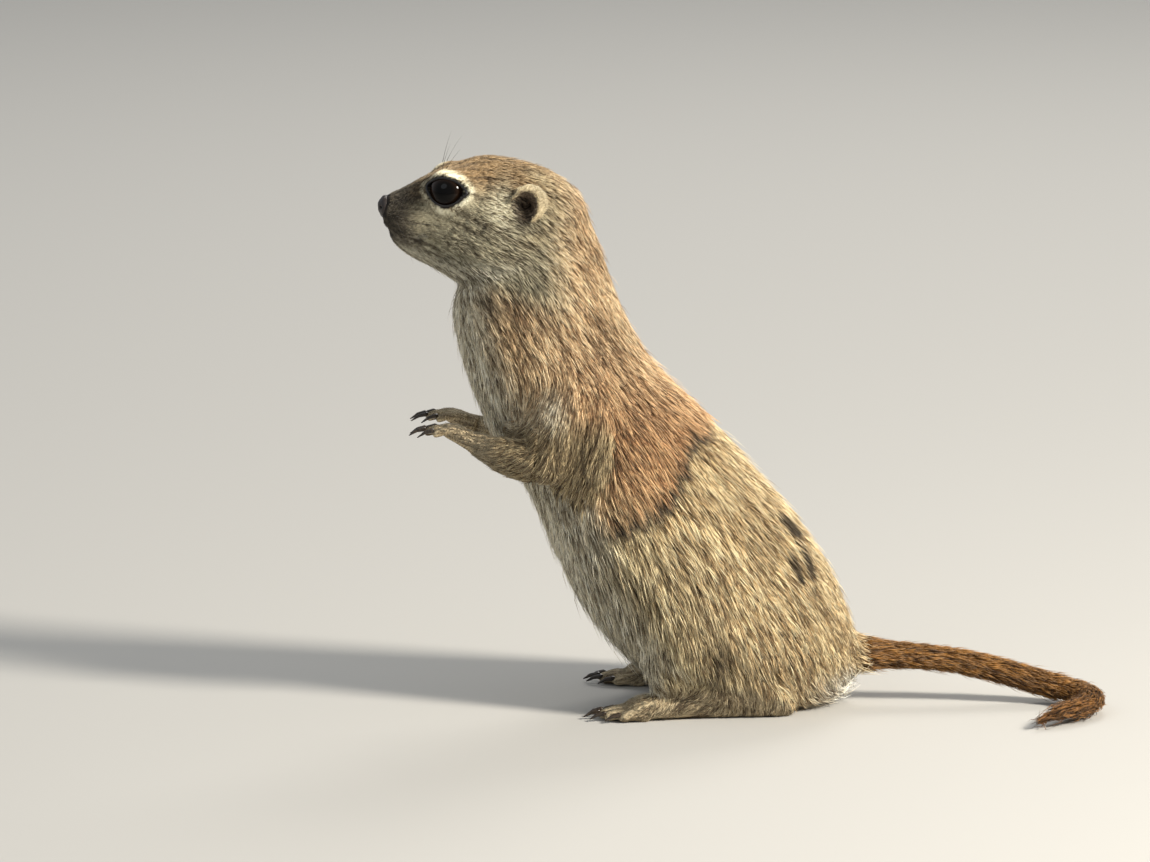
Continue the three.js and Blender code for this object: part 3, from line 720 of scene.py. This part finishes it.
def spread_roots(mesh, rng, total, finer):
    """Random places on a mesh, denser where the coat is finer, with the normal and a vertex at each."""
    points, normals, triangles = coordinates(mesh), vertex_normals(mesh), triangles_of(mesh)
    weight = areas_of(points, triangles) * finer[triangles].mean(1)
    corners, shares = random_spots(triangles, weight, total, rng)
    return (points[corners] * shares).sum(1), unit((normals[corners] * shares).sum(1)), corners[:, 0]


def tuft_template(rings):
    """The faces of one tuft, by the numbers of its own vertices."""
    faces = [(2, 1, 0)]
    for r in range(len(rings) - 1):
        for s in range(RING_SIDES):
            a, b = r * RING_SIDES + s, r * RING_SIDES + (s + 1) % RING_SIDES
            faces += [(a, b, b + RING_SIDES), (a, b + RING_SIDES, a + RING_SIDES)]
    tip = len(rings) * RING_SIDES
    last = tip - RING_SIDES
    faces += [(last + s, last + (s + 1) % RING_SIDES, tip) for s in range(RING_SIDES)]
    return np.array(faces, np.int32), tip + 1


def along_lie(lie, normals):
    """The lie of the coat, laid flat on the skin."""
    return unit(lie - normals * (lie * normals).sum(1)[:, None])


def bent_path(roots, lie, length, lift, surface, share):
    """Where a tuft has got to at a share of its length, kept at its height over the skin."""
    tree, points, normals = surface
    spot = roots + lie * (length * share)[:, None]
    nearest = nearest_in(tree, spot)
    normal = normals[nearest]
    height = ((spot - points[nearest]) * normal).sum(1)
    rise = length * np.sin(np.radians(lift)) * (1.5 * share - 0.75 * share ** 2) + 0.05
    return spot + normal * (rise - height)[:, None]


def tuft_mesh(name, rings, places, normal, across, thick, colours, pick, unwrap):
    """One mesh of many closed tufts, with its colours, and a small patch of map for each.

    The places are those of each ring in turn, and of the tip.
    """
    faces, size = tuft_template(rings)
    count = len(thick)
    vertices = np.empty((count, size, 3))
    along = np.ones(size)
    for r, ((share, wide), place) in enumerate(zip(rings, places)):
        reach = (thick * wide)[:, None]
        for s in range(RING_SIDES):
            angle = 2 * math.pi * s / RING_SIDES + math.pi / 2
            offset = across * math.cos(angle) * reach + normal * math.sin(angle) * reach * TUFT_FLATNESS
            vertices[:, r * RING_SIDES + s] = place + offset
            along[r * RING_SIDES + s] = share
    vertices[:, -1] = places[-1]
    vertices[:, :, 2] = np.maximum(vertices[:, :, 2], TUFT_HEIGHT)
    corners = (faces[None] + (np.arange(count) * size)[:, None, None]).reshape(-1)
    mesh = bpy.data.meshes.new(name)
    mesh.vertices.add(count * size)
    mesh.loops.add(len(corners))
    mesh.polygons.add(len(corners) // 3)
    mesh.vertices.foreach_set("co", (vertices * MM).astype(np.float32).ravel())
    mesh.loops.foreach_set("vertex_index", corners.astype(np.int32))
    mesh.polygons.foreach_set("loop_start", np.arange(0, len(corners), 3, dtype=np.int32))
    mesh.update(calc_edges=True)
    paint(mesh, "coat_colour", np.repeat(colours, size, axis=0), "FLOAT_COLOR")
    paint(mesh, "along", np.tile(along, count))
    paint(mesh, "pick", np.repeat(pick, size))
    patch = np.stack([np.tile([0, 0.001, 0.002], 3)[:size], along * 0.003], axis=1)
    give_map(mesh, (unwrap[:, None, :] + patch[None]).reshape(-1, 2), corners)
    return mesh


def give_map(mesh, places, corners):
    layer_map = mesh.uv_layers.new(name="OFBake")
    layer_map.data.foreach_set("uv", places[corners].astype(np.float32).ravel())


def unwrapped(points, family):
    """Each place on an unwrap of the skin: along the part's own line, and round it."""
    places = np.zeros((len(points), 2))
    signs = side_signs(points)
    sidewards = np.array([0.0, 1.0, 0.0])
    for word, (line, low, high) in UNWRAP.items():
        mine = family == word
        paired = word in ("arm", "leg")
        folded = points[mine] * (signs[mine] if paired else 1)
        share, place, way, _ = on_line(folded, line)
        out = folded - place
        upwards = unit(np.cross(way, sidewards))
        turn = np.arctan2(out @ sidewards, (out * upwards).sum(1)) / (2 * math.pi) + 0.5
        if paired:
            turn = (turn + (signs[mine][:, 1] > 0)) / 2
        places[mine] = np.stack([0.02 + 0.95 * share, low + (high - low) * turn], axis=1)
    return places


def bare(points, normals, family):
    """Where no tuft is set: the eyes, nose, lips, ear canal, soles and what rests on the floor."""
    x, z = points[:, 0], points[:, 2]
    none = (z < 0.5) | ((normals[:, 2] < -0.6) & (z < 1.6))
    none |= (family == "arm") & (normals[:, 2] < -0.35) & (x < -60.5)
    none |= reaches_off(points, NOSE_AT, NOSE_REACH) < 1
    none |= (off_line(points, MOUTH_LINE) < 0.35) & (x < -72)
    for sign in SIDES.values():
        none |= outside_lids(points, sign) < 0.42
        none |= reaches_off(points, mirrored(EAR_AT, sign), EAR_BARE_REACH) < EAR_CANAL
    return none


def coat_field(points, family, edges):
    """The lie, length and lift of the coat on the skin, turned away from the eyes and smoothed."""
    lie, length, lift = coat_at(points, family)
    field = np.concatenate([lie, length[:, None], lift[:, None]], axis=1)
    field = smoothed(field, edges, FIELD_ROUNDS, 0.6)
    lie, length, lift = unit(field[:, :3]), field[:, 3], field[:, 4]
    for sign in SIDES.values():
        far = outside_lids(points, sign)
        away = unit(points - mirrored(EYE_AT, sign))
        lie = lie + away * (1.3 * bell(np.maximum(far, 0) / 2.2))[:, None]
        length = length * (0.4 + 0.6 * eased(0.2, 4, far))
    front = ahead_of_moult(points)
    length = np.where(family == "body", length * (1 - 0.4 * bell((front - 1.5) / 1.8)), length)
    return lie, length, lift


def grow_coat(skin, regions, covered, materials):
    """Sets long tufts and short ones on the skin, each kind where the coat has its length."""
    rng = np.random.default_rng(SEED + 1)
    family = sorted_by(regions, FAMILIES, "body")
    slots = sorted_by(regions, COAT_SLOTS, "limb_coat")
    points, normals, edges = coordinates(skin), vertex_normals(skin), edges_of(skin)
    lie, length, lift = coat_field(points, family, edges)
    flat = along_lie(lie, normals)
    tree = tree_of(points)
    streak = streaks_along(points, flat, tree, rng.normal(size=len(points)), STREAK_STEPS)
    paint(skin, "pick", streak)
    noise = smoothed(rng.normal(size=(len(points), 1)), edges, 3, 0.5)
    lock = streaks_along(points, flat, tree, noise[:, 0], LOCK_STEPS)
    length = length * (0.9 + 0.2 * lock)
    finer = 1 / np.clip(length, 0.8, 6) ** 0.8
    finer[:len(covered)][covered] = 0
    long = eased(BENT_FROM - 0.15, BENT_FROM + 0.15, length)
    surface = (tree, points, normals)
    for kind, share in (("long", long), ("short", 1 - long)):
        roots, root_normals, nearest = spread_roots(skin, rng, TUFTS[kind], finer * share)
        keep = ~bare(roots, root_normals, family[nearest])
        roots, root_normals, nearest = roots[keep], root_normals[keep], nearest[keep]
        field = [values[nearest] for values in (family, slots, lie, length, lift, streak, lock)]
        grow_tufts(kind, roots, root_normals, field, surface, rng, materials)


def grow_tufts(kind, roots, normals, field, surface, rng, materials):
    """The tufts of one kind, as a piece for each finish, or several where it has many tufts."""
    family, slots, lie, length, lift, streak, lock = field
    rings, count = RINGS[kind], len(roots)
    # Neighbouring tufts share a clump: they lean together and have nearly one tone
    heads = roots[rng.choice(count, int(count * CLUMPS_PER_TUFT), replace=False)]
    mine = nearest_in(tree_of(heads), roots)
    lean = unit(rng.normal(size=(len(heads), 3)))[mine] * CLUMP_LEAN
    own = unit(rng.normal(size=(count, 3))) * OWN_LEAN
    lie = along_lie(unit(lie) + lean + own, normals)
    length = length * rng.uniform(0.75, 1.15, count) * rng.uniform(0.88, 1.1, len(heads))[mine]
    lift = lift * rng.uniform(0.5, 1.3, count) * (0.8 + 0.4 * lock)
    thick = (TUFT_THICK + THICKER_BY_LENGTH * length) * rng.uniform(0.75, 1.2, count)
    guard = rng.random(count) < GUARD["share"]
    length[guard] *= GUARD["length"]
    lift[guard] *= GUARD["lift"]
    thick[guard] *= GUARD["thick"]
    shares = [share for share, _ in rings[1:]] + [1.0]
    places = [bent_path(roots, lie, length, lift, surface, share) for share in shares]
    tip = places[-1]
    gather = heads[mine] + (tip - roots)
    places[-1] = tip + (gather - tip) * (CLUMP_GATHER * rng.random(count))[:, None]
    places = [roots - normals * ROOT_DEPTH[kind], *places]
    across = unit(np.cross(normals, lie))
    colours = markings(roots + lie * (0.65 * length)[:, None], normals, family)
    tone = rng.normal(1, 0.06, len(heads))[mine] * rng.normal(1, 0.06, count)
    # Painted shade: the locks that lie lowest and shortest are darkened
    tone *= 1 + LOCK_SHADE * (lock - 0.5) * eased(1.2, 3, length)
    colours = np.clip(colours * tone[:, None], 0, 1)
    pick = np.clip(streak + 0.26 * rng.normal(size=count), 0, 1)
    tables = (normals, across, thick, colours, pick, unwrapped(roots, family))
    in_piece = PIECE_TRIANGLES // len(tuft_template(rings)[0])
    for slot, finish in materials.items():
        order = np.flatnonzero(slots == slot)
        for number, start in enumerate(range(0, len(order), in_piece)):
            part = order[start:start + in_piece]
            name = f"{slot}_{kind}_{number + 1}"
            own_rows = [values[part] for values in tables]
            mesh = tuft_mesh(name, rings, [place[part] for place in places], *own_rows)
            piece_from(name, mesh, finish, slot)


# Materials

def group(name, inputs, outputs):
    """An empty shader group with its sockets, and the nodes that carry them."""
    tree = bpy.data.node_groups.new(name, "ShaderNodeTree")
    for socket, kind, value in inputs:
        made = tree.interface.new_socket(socket, in_out="INPUT", socket_type=kind)
        made.default_value = value
    for socket, kind in outputs:
        tree.interface.new_socket(socket, in_out="OUTPUT", socket_type=kind)
    return tree, tree.nodes.new("NodeGroupInput"), tree.nodes.new("NodeGroupOutput")


def ranged(tree, value, low, high, to_low, to_high):
    node = tree.nodes.new("ShaderNodeMapRange")
    node.interpolation_type = "SMOOTHSTEP"
    for socket, number in zip(("From Min", "From Max", "To Min", "To Max"), (low, high, to_low, to_high)):
        node.inputs[socket].default_value = number
    tree.links.new(value, node.inputs["Value"])
    return node.outputs["Result"]


def mixed(tree, factor, first, second, blend="MIX"):
    """Mixes two colours. Each of the three inputs is a socket or a plain value."""
    node = tree.nodes.new("ShaderNodeMix")
    node.data_type = "RGBA"
    node.blend_type = blend
    for socket, value in ((0, factor), (6, first), (7, second)):
        if isinstance(value, bpy.types.NodeSocket):
            tree.links.new(value, node.inputs[socket])
        else:
            node.inputs[socket].default_value = value
    return node.outputs[2]


def opaque(colour):
    return (*[float(channel) for channel in colour], 1.0)


def hair_banding():
    """Bands a hair from its dark root to its tip, and turns some hairs pale or dark."""
    tree, given, result = group(
        "Hair banding",
        [("Colour", "NodeSocketColor", (0.5, 0.4, 0.3, 1)), ("Along", "NodeSocketFloat", 0.5),
         ("Pick", "NodeSocketFloat", 0.5)],
        [("Colour", "NodeSocketColor")],
    )
    own = given.outputs["Colour"]
    near_tip = (0.5, 0.95, 0, 0.4)
    # Each step: what it goes by, its range there, its share at both ends of that, and its colour
    steps = [
        ("Along", (0.1, 0.65, 1, 0), opaque((0.40, 0.36, 0.33)), "MULTIPLY"),
        ("Pick", (0.42, 0.14, 0, 0.95), opaque((0.28, 0.25, 0.23)), "MULTIPLY"),
        ("Pick", (0.5, 0.8, 0, 0.9), own, "SCREEN"),
        ("Along", near_tip, own, "SCREEN"),
        ("Along", near_tip, opaque((0.26, 0.24, 0.19)), "SCREEN"),
    ]
    colour = own
    for socket, span, over, blend in steps:
        colour = mixed(tree, ranged(tree, given.outputs[socket], *span), colour, over, blend)
    tree.links.new(colour, result.inputs["Colour"])
    return tree


def fine_grain():
    """Small uneven bumps, as a normal and as a mask."""
    tree, given, result = group(
        "Fine grain",
        [("Scale", "NodeSocketFloat", 3000), ("Strength", "NodeSocketFloat", 0.3),
         ("Height", "NodeSocketFloat", 0.0001)],
        [("Normal", "NodeSocketVector"), ("Mask", "NodeSocketFloat")],
    )
    place = tree.nodes.new("ShaderNodeTexCoord")
    noise = tree.nodes.new("ShaderNodeTexNoise")
    noise.inputs["Detail"].default_value = 4
    tree.links.new(place.outputs["Object"], noise.inputs["Vector"])
    tree.links.new(given.outputs["Scale"], noise.inputs["Scale"])
    bump = tree.nodes.new("ShaderNodeBump")
    tree.links.new(given.outputs["Strength"], bump.inputs["Strength"])
    tree.links.new(given.outputs["Height"], bump.inputs["Distance"])
    tree.links.new(noise.outputs["Fac"], bump.inputs["Height"])
    tree.links.new(bump.outputs["Normal"], result.inputs["Normal"])
    tree.links.new(noise.outputs["Fac"], result.inputs["Mask"])
    return tree


BANDING = hair_banding()
GRAIN = fine_grain()


def place_group(tree, made, **values):
    node = tree.nodes.new("ShaderNodeGroup")
    node.node_tree = made
    for socket, value in values.items():
        node.inputs[socket].default_value = value
    return node


def attribute_node(tree, name):
    node = tree.nodes.new("ShaderNodeAttribute")
    node.attribute_name = name
    return node


def material(name, **shader):
    """A material with plain values set on its shader's own sockets."""
    made = bpy.data.materials.new(name)
    made.use_nodes = True
    principled = made.node_tree.nodes["Principled BSDF"]
    for socket, value in shader.items():
        principled.inputs[socket.replace("_", " ")].default_value = value
    return made, made.node_tree, principled


def haired_material(name, along=None, **shader):
    """A finish banded as hair is, by the colour and pick painted on the mesh.

    Each vertex's share of the way along its hair is painted too, or is one value for all.
    """
    made, tree, principled = material(name, **shader)
    banding = place_group(tree, BANDING)
    painted = {"Colour": ("coat_colour", "Color"), "Pick": ("pick", "Fac")}
    if along is None:
        painted["Along"] = ("along", "Fac")
    else:
        banding.inputs["Along"].default_value = along
    for socket, (attribute, output) in painted.items():
        tree.links.new(attribute_node(tree, attribute).outputs[output], banding.inputs[socket])
    tree.links.new(banding.outputs["Colour"], principled.inputs["Base Color"])
    return made


def coat_material(slot):
    name = slot.replace("_", " ")
    return haired_material(name, Roughness=0.6, Specular_IOR_Level=0.22, Sheen_Weight=0.05)


def skin_material():
    made = haired_material("skin", along=0.42, Roughness=0.75, Specular_IOR_Level=0.25)
    tree = made.node_tree
    grain = place_group(tree, GRAIN, Scale=2600.0, Strength=0.5, Height=0.00025)
    tree.links.new(grain.outputs["Normal"], tree.nodes["Principled BSDF"].inputs["Normal"])
    return made


def bare_material(name, colour, dark, scale, **shader):
    """Bare skin or horn: two tones in small grain."""
    made, tree, principled = material(name, **shader)
    grain = place_group(tree, GRAIN, Scale=scale, Strength=0.35, Height=0.00012)
    tone = ranged(tree, grain.outputs["Mask"], 0.35, 0.65, 0, 1)
    tree.links.new(mixed(tree, tone, opaque(dark), opaque(colour)), principled.inputs["Base Color"])
    tree.links.new(grain.outputs["Normal"], principled.inputs["Normal"])
    return made


def eye_material():
    made, tree, principled = material("eye", Roughness=0.05, Specular_IOR_Level=0.14)
    ring = ranged(tree, attribute_node(tree, "iris").outputs["Fac"], 0.0, 1.0, 0, 1)
    tree.links.new(mixed(tree, ring, opaque(PUPIL), opaque(IRIS)), principled.inputs["Base Color"])
    return made


# Pieces

def turned_grid(rings, looped=False):
    """A closed mesh through rings of equally many points, capped at both ends or looped into a ring."""
    count = len(rings[0])
    points = np.concatenate(rings)
    faces = []
    for r in range(len(rings) if looped else len(rings) - 1):
        for s in range(count):
            a, b = r * count + s, r * count + (s + 1) % count
            faces.append([v % len(points) for v in (a, b, b + count, a + count)])
    if not looped:
        faces.append(list(range(count))[::-1])
        faces.append(list(range(len(points) - count, len(points))))
    return points, faces


def mesh_of(name, points, faces):
    mesh = bpy.data.meshes.new(name)
    mesh.from_pydata((np.asarray(points) * MM).tolist(), [], faces)
    outward = bmesh.new()
    outward.from_mesh(mesh)
    bmesh.ops.recalc_face_normals(outward, faces=outward.faces)
    outward.to_mesh(mesh)
    outward.free()
    return mesh


def turns(count):
    return 2 * math.pi * np.arange(count) / count


def tube(path, radii, sides):
    """A closed tube along a path of points."""
    ways = unit(np.gradient(path, axis=0))
    helper = np.array([0.0, 0.0, 1.0]) if abs(ways[0][2]) < 0.9 else np.array([0.0, 1.0, 0.0])
    angles = turns(sides)
    rings = []
    for place, way, radius in zip(path, ways, radii):
        across = unit(np.cross(way, helper))
        up = np.cross(across, way)
        rings.append(place + radius * (np.outer(np.cos(angles), across) + np.outer(np.sin(angles), up)))
    return turned_grid(rings)


CORNEA_BULGE = 0.35
IRIS_ANGLE = 0.82


def make_eyes(finish):
    angles = turns(64)
    for word, sign in SIDES.items():
        back, up, look = eye_axes(sign)
        around = np.outer(np.cos(angles), back) + np.outer(np.sin(angles), up)
        middle = mirrored(EYE_AT, sign)
        rings = []
        for step in np.linspace(0.03, math.pi - 0.03, 44):
            radius = EYE_RADIUS + CORNEA_BULGE * float(eased(1.0, 0.2, step))
            rings.append(middle + radius * (math.cos(step) * look + math.sin(step) * around))
        mesh = mesh_of(f"eyeball_{word}", *turned_grid(rings))
        away = unit(coordinates(mesh) - middle)
        angle = np.arccos(np.clip(away @ look, -1, 1))
        paint(mesh, "iris", bell((angle - IRIS_ANGLE) / 0.3))
        piece_from(f"eyeball_{word}", mesh, finish, "eye", f"eye_{word}")


LID_RIM = 0.26


def make_lid_rims(skin, finish):
    """The bare dark edge of the lids, as a ring that lies on the eyeball and on the skin."""
    skin_points = coordinates(skin)
    for word, sign in SIDES.items():
        back, up, look = eye_axes(sign)
        middle = mirrored(EYE_AT, sign)
        away = skin_points - middle
        near = (np.linalg.norm(away, axis=1) < 7) & (away @ look > -1)
        seen = np.stack([away @ back, away @ up, np.zeros(len(away))], axis=1)[near]
        tree, height = tree_of(seen), (away @ look)[near]
        flat = RIM[:, :1] * back + RIM[:, 1:] * up
        on_ball = np.sqrt(np.maximum((EYE_RADIUS + 0.18) ** 2 - (flat ** 2).sum(1), 0))
        edge = [height[[found[1] for found in tree.find_n((*place, 0), 6)]].max() for place in RIM * 1.06]
        depth = np.maximum(on_ball, np.array(edge) - 0.1)
        for _ in range(4):
            depth = 0.5 * depth + 0.25 * (np.roll(depth, 1) + np.roll(depth, -1))
        centre = middle + flat + look * depth[:, None]
        out = unit(centre - middle)
        ways = unit(np.roll(centre, -1, axis=0) - np.roll(centre, 1, axis=0))
        across = unit(np.cross(ways, out))
        rings = [centre + LID_RIM * (math.cos(angle) * across + 0.9 * math.sin(angle) * out)
                 for angle in turns(8)]
        mesh = mesh_of(f"lid_rim_{word}", *turned_grid(rings, looped=True))
        piece_from(f"lid_rim_{word}", mesh, finish, "nose")


def make_ears(coat, skin):
    rng = np.random.default_rng(SEED + 2)
    for word, sign in SIDES.items():
        mesh = refined([f"ear_{word}"], 0.16, 10, 0.12)
        points, normals = coordinates(mesh), vertex_normals(mesh)
        inward = unit(mirrored(EAR_AT, sign) + mirrored((-0.6, 0.4, 0), sign) - points)
        inside = eased(-0.2, 0.5, (normals * inward).sum(1))
        colour = EAR_EDGE + (EAR_INSIDE - EAR_EDGE) * inside[:, None]
        paint(mesh, "coat_colour", colour, "FLOAT_COLOR")
        paint(mesh, "pick", rng.random(len(points)))
        roots, normals, nearest = spread_roots(mesh, rng, EAR_TUFTS, 1 - 0.75 * inside)
        piece_from(f"pinna_{word}", mesh, skin, "head_coat", f"ear_{word}")
        lie = mirrored((0.5, 0.25, 0.55), sign) + 0.25 * rng.normal(size=roots.shape)
        lie = along_lie(lie, normals)
        length = rng.uniform(0.7, 1.2, len(roots))
        places = [roots - normals * 0.1, roots + lie * length[:, None] + normals * 0.28]
        tones = colour[nearest] * rng.normal(1, 0.12, len(roots))[:, None]
        unwrap = unwrapped(roots, np.full(len(roots), "body"))
        fuzz = tuft_mesh(f"ear_fuzz_{word}", RINGS["short"], places, normals, unit(np.cross(normals, lie)),
                         np.full(len(roots), 0.08), np.clip(tones, 0, 1), rng.random(len(roots)), unwrap)
        piece_from(f"ear_fuzz_{word}", fuzz, coat, "head_coat")


def make_nose(finish):
    piece_from("nose_pad", refined(["nose"], 0.13, 4, 0.14), finish, "nose", "nose")


CLAW_ROOT = 0.36  # how much longer a claw is made at its root, so that it starts in the toe


def make_claws(finish):
    claws = [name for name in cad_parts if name.startswith("claw")]
    grown = []
    for name in claws:
        mesh = swollen_solids([name], 0.05)
        points = coordinates(mesh)
        tip = points[points[:, 0].argmin()]
        way = unit(points.mean(0) - tip)
        place_vertices(mesh, points + np.outer((points - tip) @ way * CLAW_ROOT, way))
        grown.append(mesh)
    mesh = smooth_mesh(evened(joined_meshes("claws", *grown), 0.1), 2, 0.5)
    piece_from("claws", mesh, finish, "claw", *claws)


# Whiskers: where each row starts on the right side, how many it has, how they point and how long
WHISKER_ROWS = [((-78.2, 3.4, 105.4), 4, (-0.1, 1, 0.25), 11), ((-77.2, 3.9, 104.2), 5, (0.1, 1, 0.0), 14),
                ((-76.2, 4.3, 103.0), 5, (0.25, 1, -0.25), 12)]
WHISKER_THICK = 0.055
BROW_WHISKERS = [((-67.5, 5.5, 115.6), (0.2, 0.5, 0.9), 8), ((-66.6, 5.8, 115.8), (0.4, 0.5, 0.8), 7)]


def whisker(root, way, long, droop):
    shares = np.linspace(0, 1, 9)[:, None]
    path = root + way * long * shares + np.array([0.35, 0, -1]) * droop * shares ** 2
    return mesh_of("whisker", *tube(path, WHISKER_THICK * (1 - 0.85 * shares[:, 0]), 4))


def make_whiskers(finish):
    rng = np.random.default_rng(SEED + 3)
    grown = []
    for sign in SIDES.values():
        mirror = np.array([1, sign, 1])
        for at, count, way, long in WHISKER_ROWS:
            for k in range(count):
                root = (np.array(at) + np.array([0.85, 0.32, -0.1]) * k) * mirror
                point = unit(np.array(way) + np.array([0.22 * k, 0, 0.05 * k]) + 0.08 * rng.normal(size=3))
                grown.append(whisker(root, point * mirror, long * rng.uniform(0.75, 1.05), 1.6))
        for at, way, long in BROW_WHISKERS:
            grown.append(whisker(np.array(at) * mirror, unit(np.array(way)) * mirror, long, 0.8))
    piece_from("whiskers", joined_meshes("whiskers", *grown), finish, "claw")


# Stage

FLOOR_REACH = 3.0


def make_floor():
    mesh = bpy.data.meshes.new("floor")
    corners = [(-1, -1), (1, -1), (1, 1), (-1, 1)]
    mesh.from_pydata([(FLOOR_REACH * x, FLOOR_REACH * y, 0) for x, y in corners], [], [(0, 1, 2, 3)])
    floor = bpy.data.objects.new("floor", mesh)
    made, _, _ = material("floor", Base_Color=opaque(srgb(184, 182, 177)), Roughness=0.9)
    mesh.materials.append(made)
    bpy.context.scene.collection.objects.link(floor)


# A light: where it stands, how wide it is, its strength and its colour
LIGHTS = {
    "key": ((0.72, -0.42, 0.6), 0.22, 18.5, (1.0, 0.94, 0.84)),
    "fill": ((-0.9, -0.9, 1.1), 1.0, 3.4, (0.88, 0.94, 1.0)),
    "back": ((0.2, 0.9, 0.8), 0.5, 5.0, (1.0, 0.97, 0.92)),
}
LIGHT_AIM = (-0.02, 0, 0.05)
SKY_COLOUR = (0.86, 0.9, 0.95, 1)
SKY_STRENGTH = 0.42


def make_lights():
    for name, (at, size, strength, colour) in LIGHTS.items():
        light = bpy.data.lights.new(name, "AREA")
        light.shape = "DISK"
        light.size = size
        light.energy = strength
        light.color = colour
        lamp = bpy.data.objects.new(name, light)
        lamp.location = at
        lamp.rotation_euler = (Vector(LIGHT_AIM) - Vector(at)).to_track_quat("-Z", "Y").to_euler()
        bpy.context.scene.collection.objects.link(lamp)
    world = bpy.data.worlds.new("studio")
    world.use_nodes = True
    sky = world.node_tree.nodes["Background"]
    sky.inputs["Color"].default_value = SKY_COLOUR
    sky.inputs["Strength"].default_value = SKY_STRENGTH
    bpy.context.scene.world = world


CAMERA_AIM = Vector((-0.0394, 0, 0.0585))
CAMERA_RISE = math.radians(10)
CAMERA_DISTANCE = 2.5
CAMERA_LENS = 367.8


def make_camera():
    lens = bpy.data.cameras.new("camera")
    lens.lens = CAMERA_LENS
    lens.sensor_width = 36
    camera = bpy.data.objects.new("camera", lens)
    away = Vector((0, -math.cos(CAMERA_RISE), math.sin(CAMERA_RISE)))
    camera.location = CAMERA_AIM + away * CAMERA_DISTANCE
    camera.rotation_euler = (-away).to_track_quat("-Z", "Y").to_euler()
    bpy.context.scene.collection.objects.link(camera)
    bpy.context.scene.camera = camera
    bpy.context.scene.view_settings.view_transform = "Standard"


def main():
    make_camera()
    make_lights()
    make_floor()
    coats = {slot: coat_material(slot) for slot in sorted({*COAT_SLOTS.values(), "limb_coat"})}
    skin_finish = skin_material()
    bare_skin = bare_material("bare skin", srgb(54, 44, 38), srgb(30, 24, 21), 5000.0, Roughness=0.4)
    horn = bare_material("horn", srgb(62, 50, 38), srgb(30, 24, 18), 2200.0, Roughness=0.3)
    lid = bare_material("lid", srgb(28, 23, 20), srgb(15, 12, 11), 5000.0, Roughness=0.45)
    bristle, _, _ = material("bristle", Base_Color=opaque(srgb(46, 40, 34)), Roughness=0.4)
    regions_at = region_finder()
    body, covered = grow_body_skin(regions_at)
    body_size = len(body.vertices)
    skin = joined_meshes("skin", body, grow_arm_skin(regions_at))
    points, normals = coordinates(skin), vertex_normals(skin)
    regions = regions_at(points)
    family = sorted_by(regions, FAMILIES, "body")
    paint(skin, "coat_colour", markings(points, normals, family), "FLOAT_COLOR")
    give_map(skin, unwrapped(points, family), read(skin.loops, "vertex_index", 1, np.int32)[:, 0])
    grow_coat(skin, regions, covered, coats)
    solids = [name for name in FLESH if name not in ARM_ENDS]
    piece_from("skin", part_of(skin, "skin", 0, body_size), skin_finish, "rear_coat", *solids)
    arms = part_of(skin, "arm_skin", body_size, len(skin.vertices))
    piece_from("arm_skin", arms, skin_finish, "limb_coat", *ARM_ENDS)
    make_eyes(eye_material())
    make_lid_rims(skin, lid)
    make_ears(coats["head_coat"], skin_finish)
    make_nose(bare_skin)
    make_claws(horn)
    make_whiskers(bristle)
    bpy.context.view_layer.update()


main()
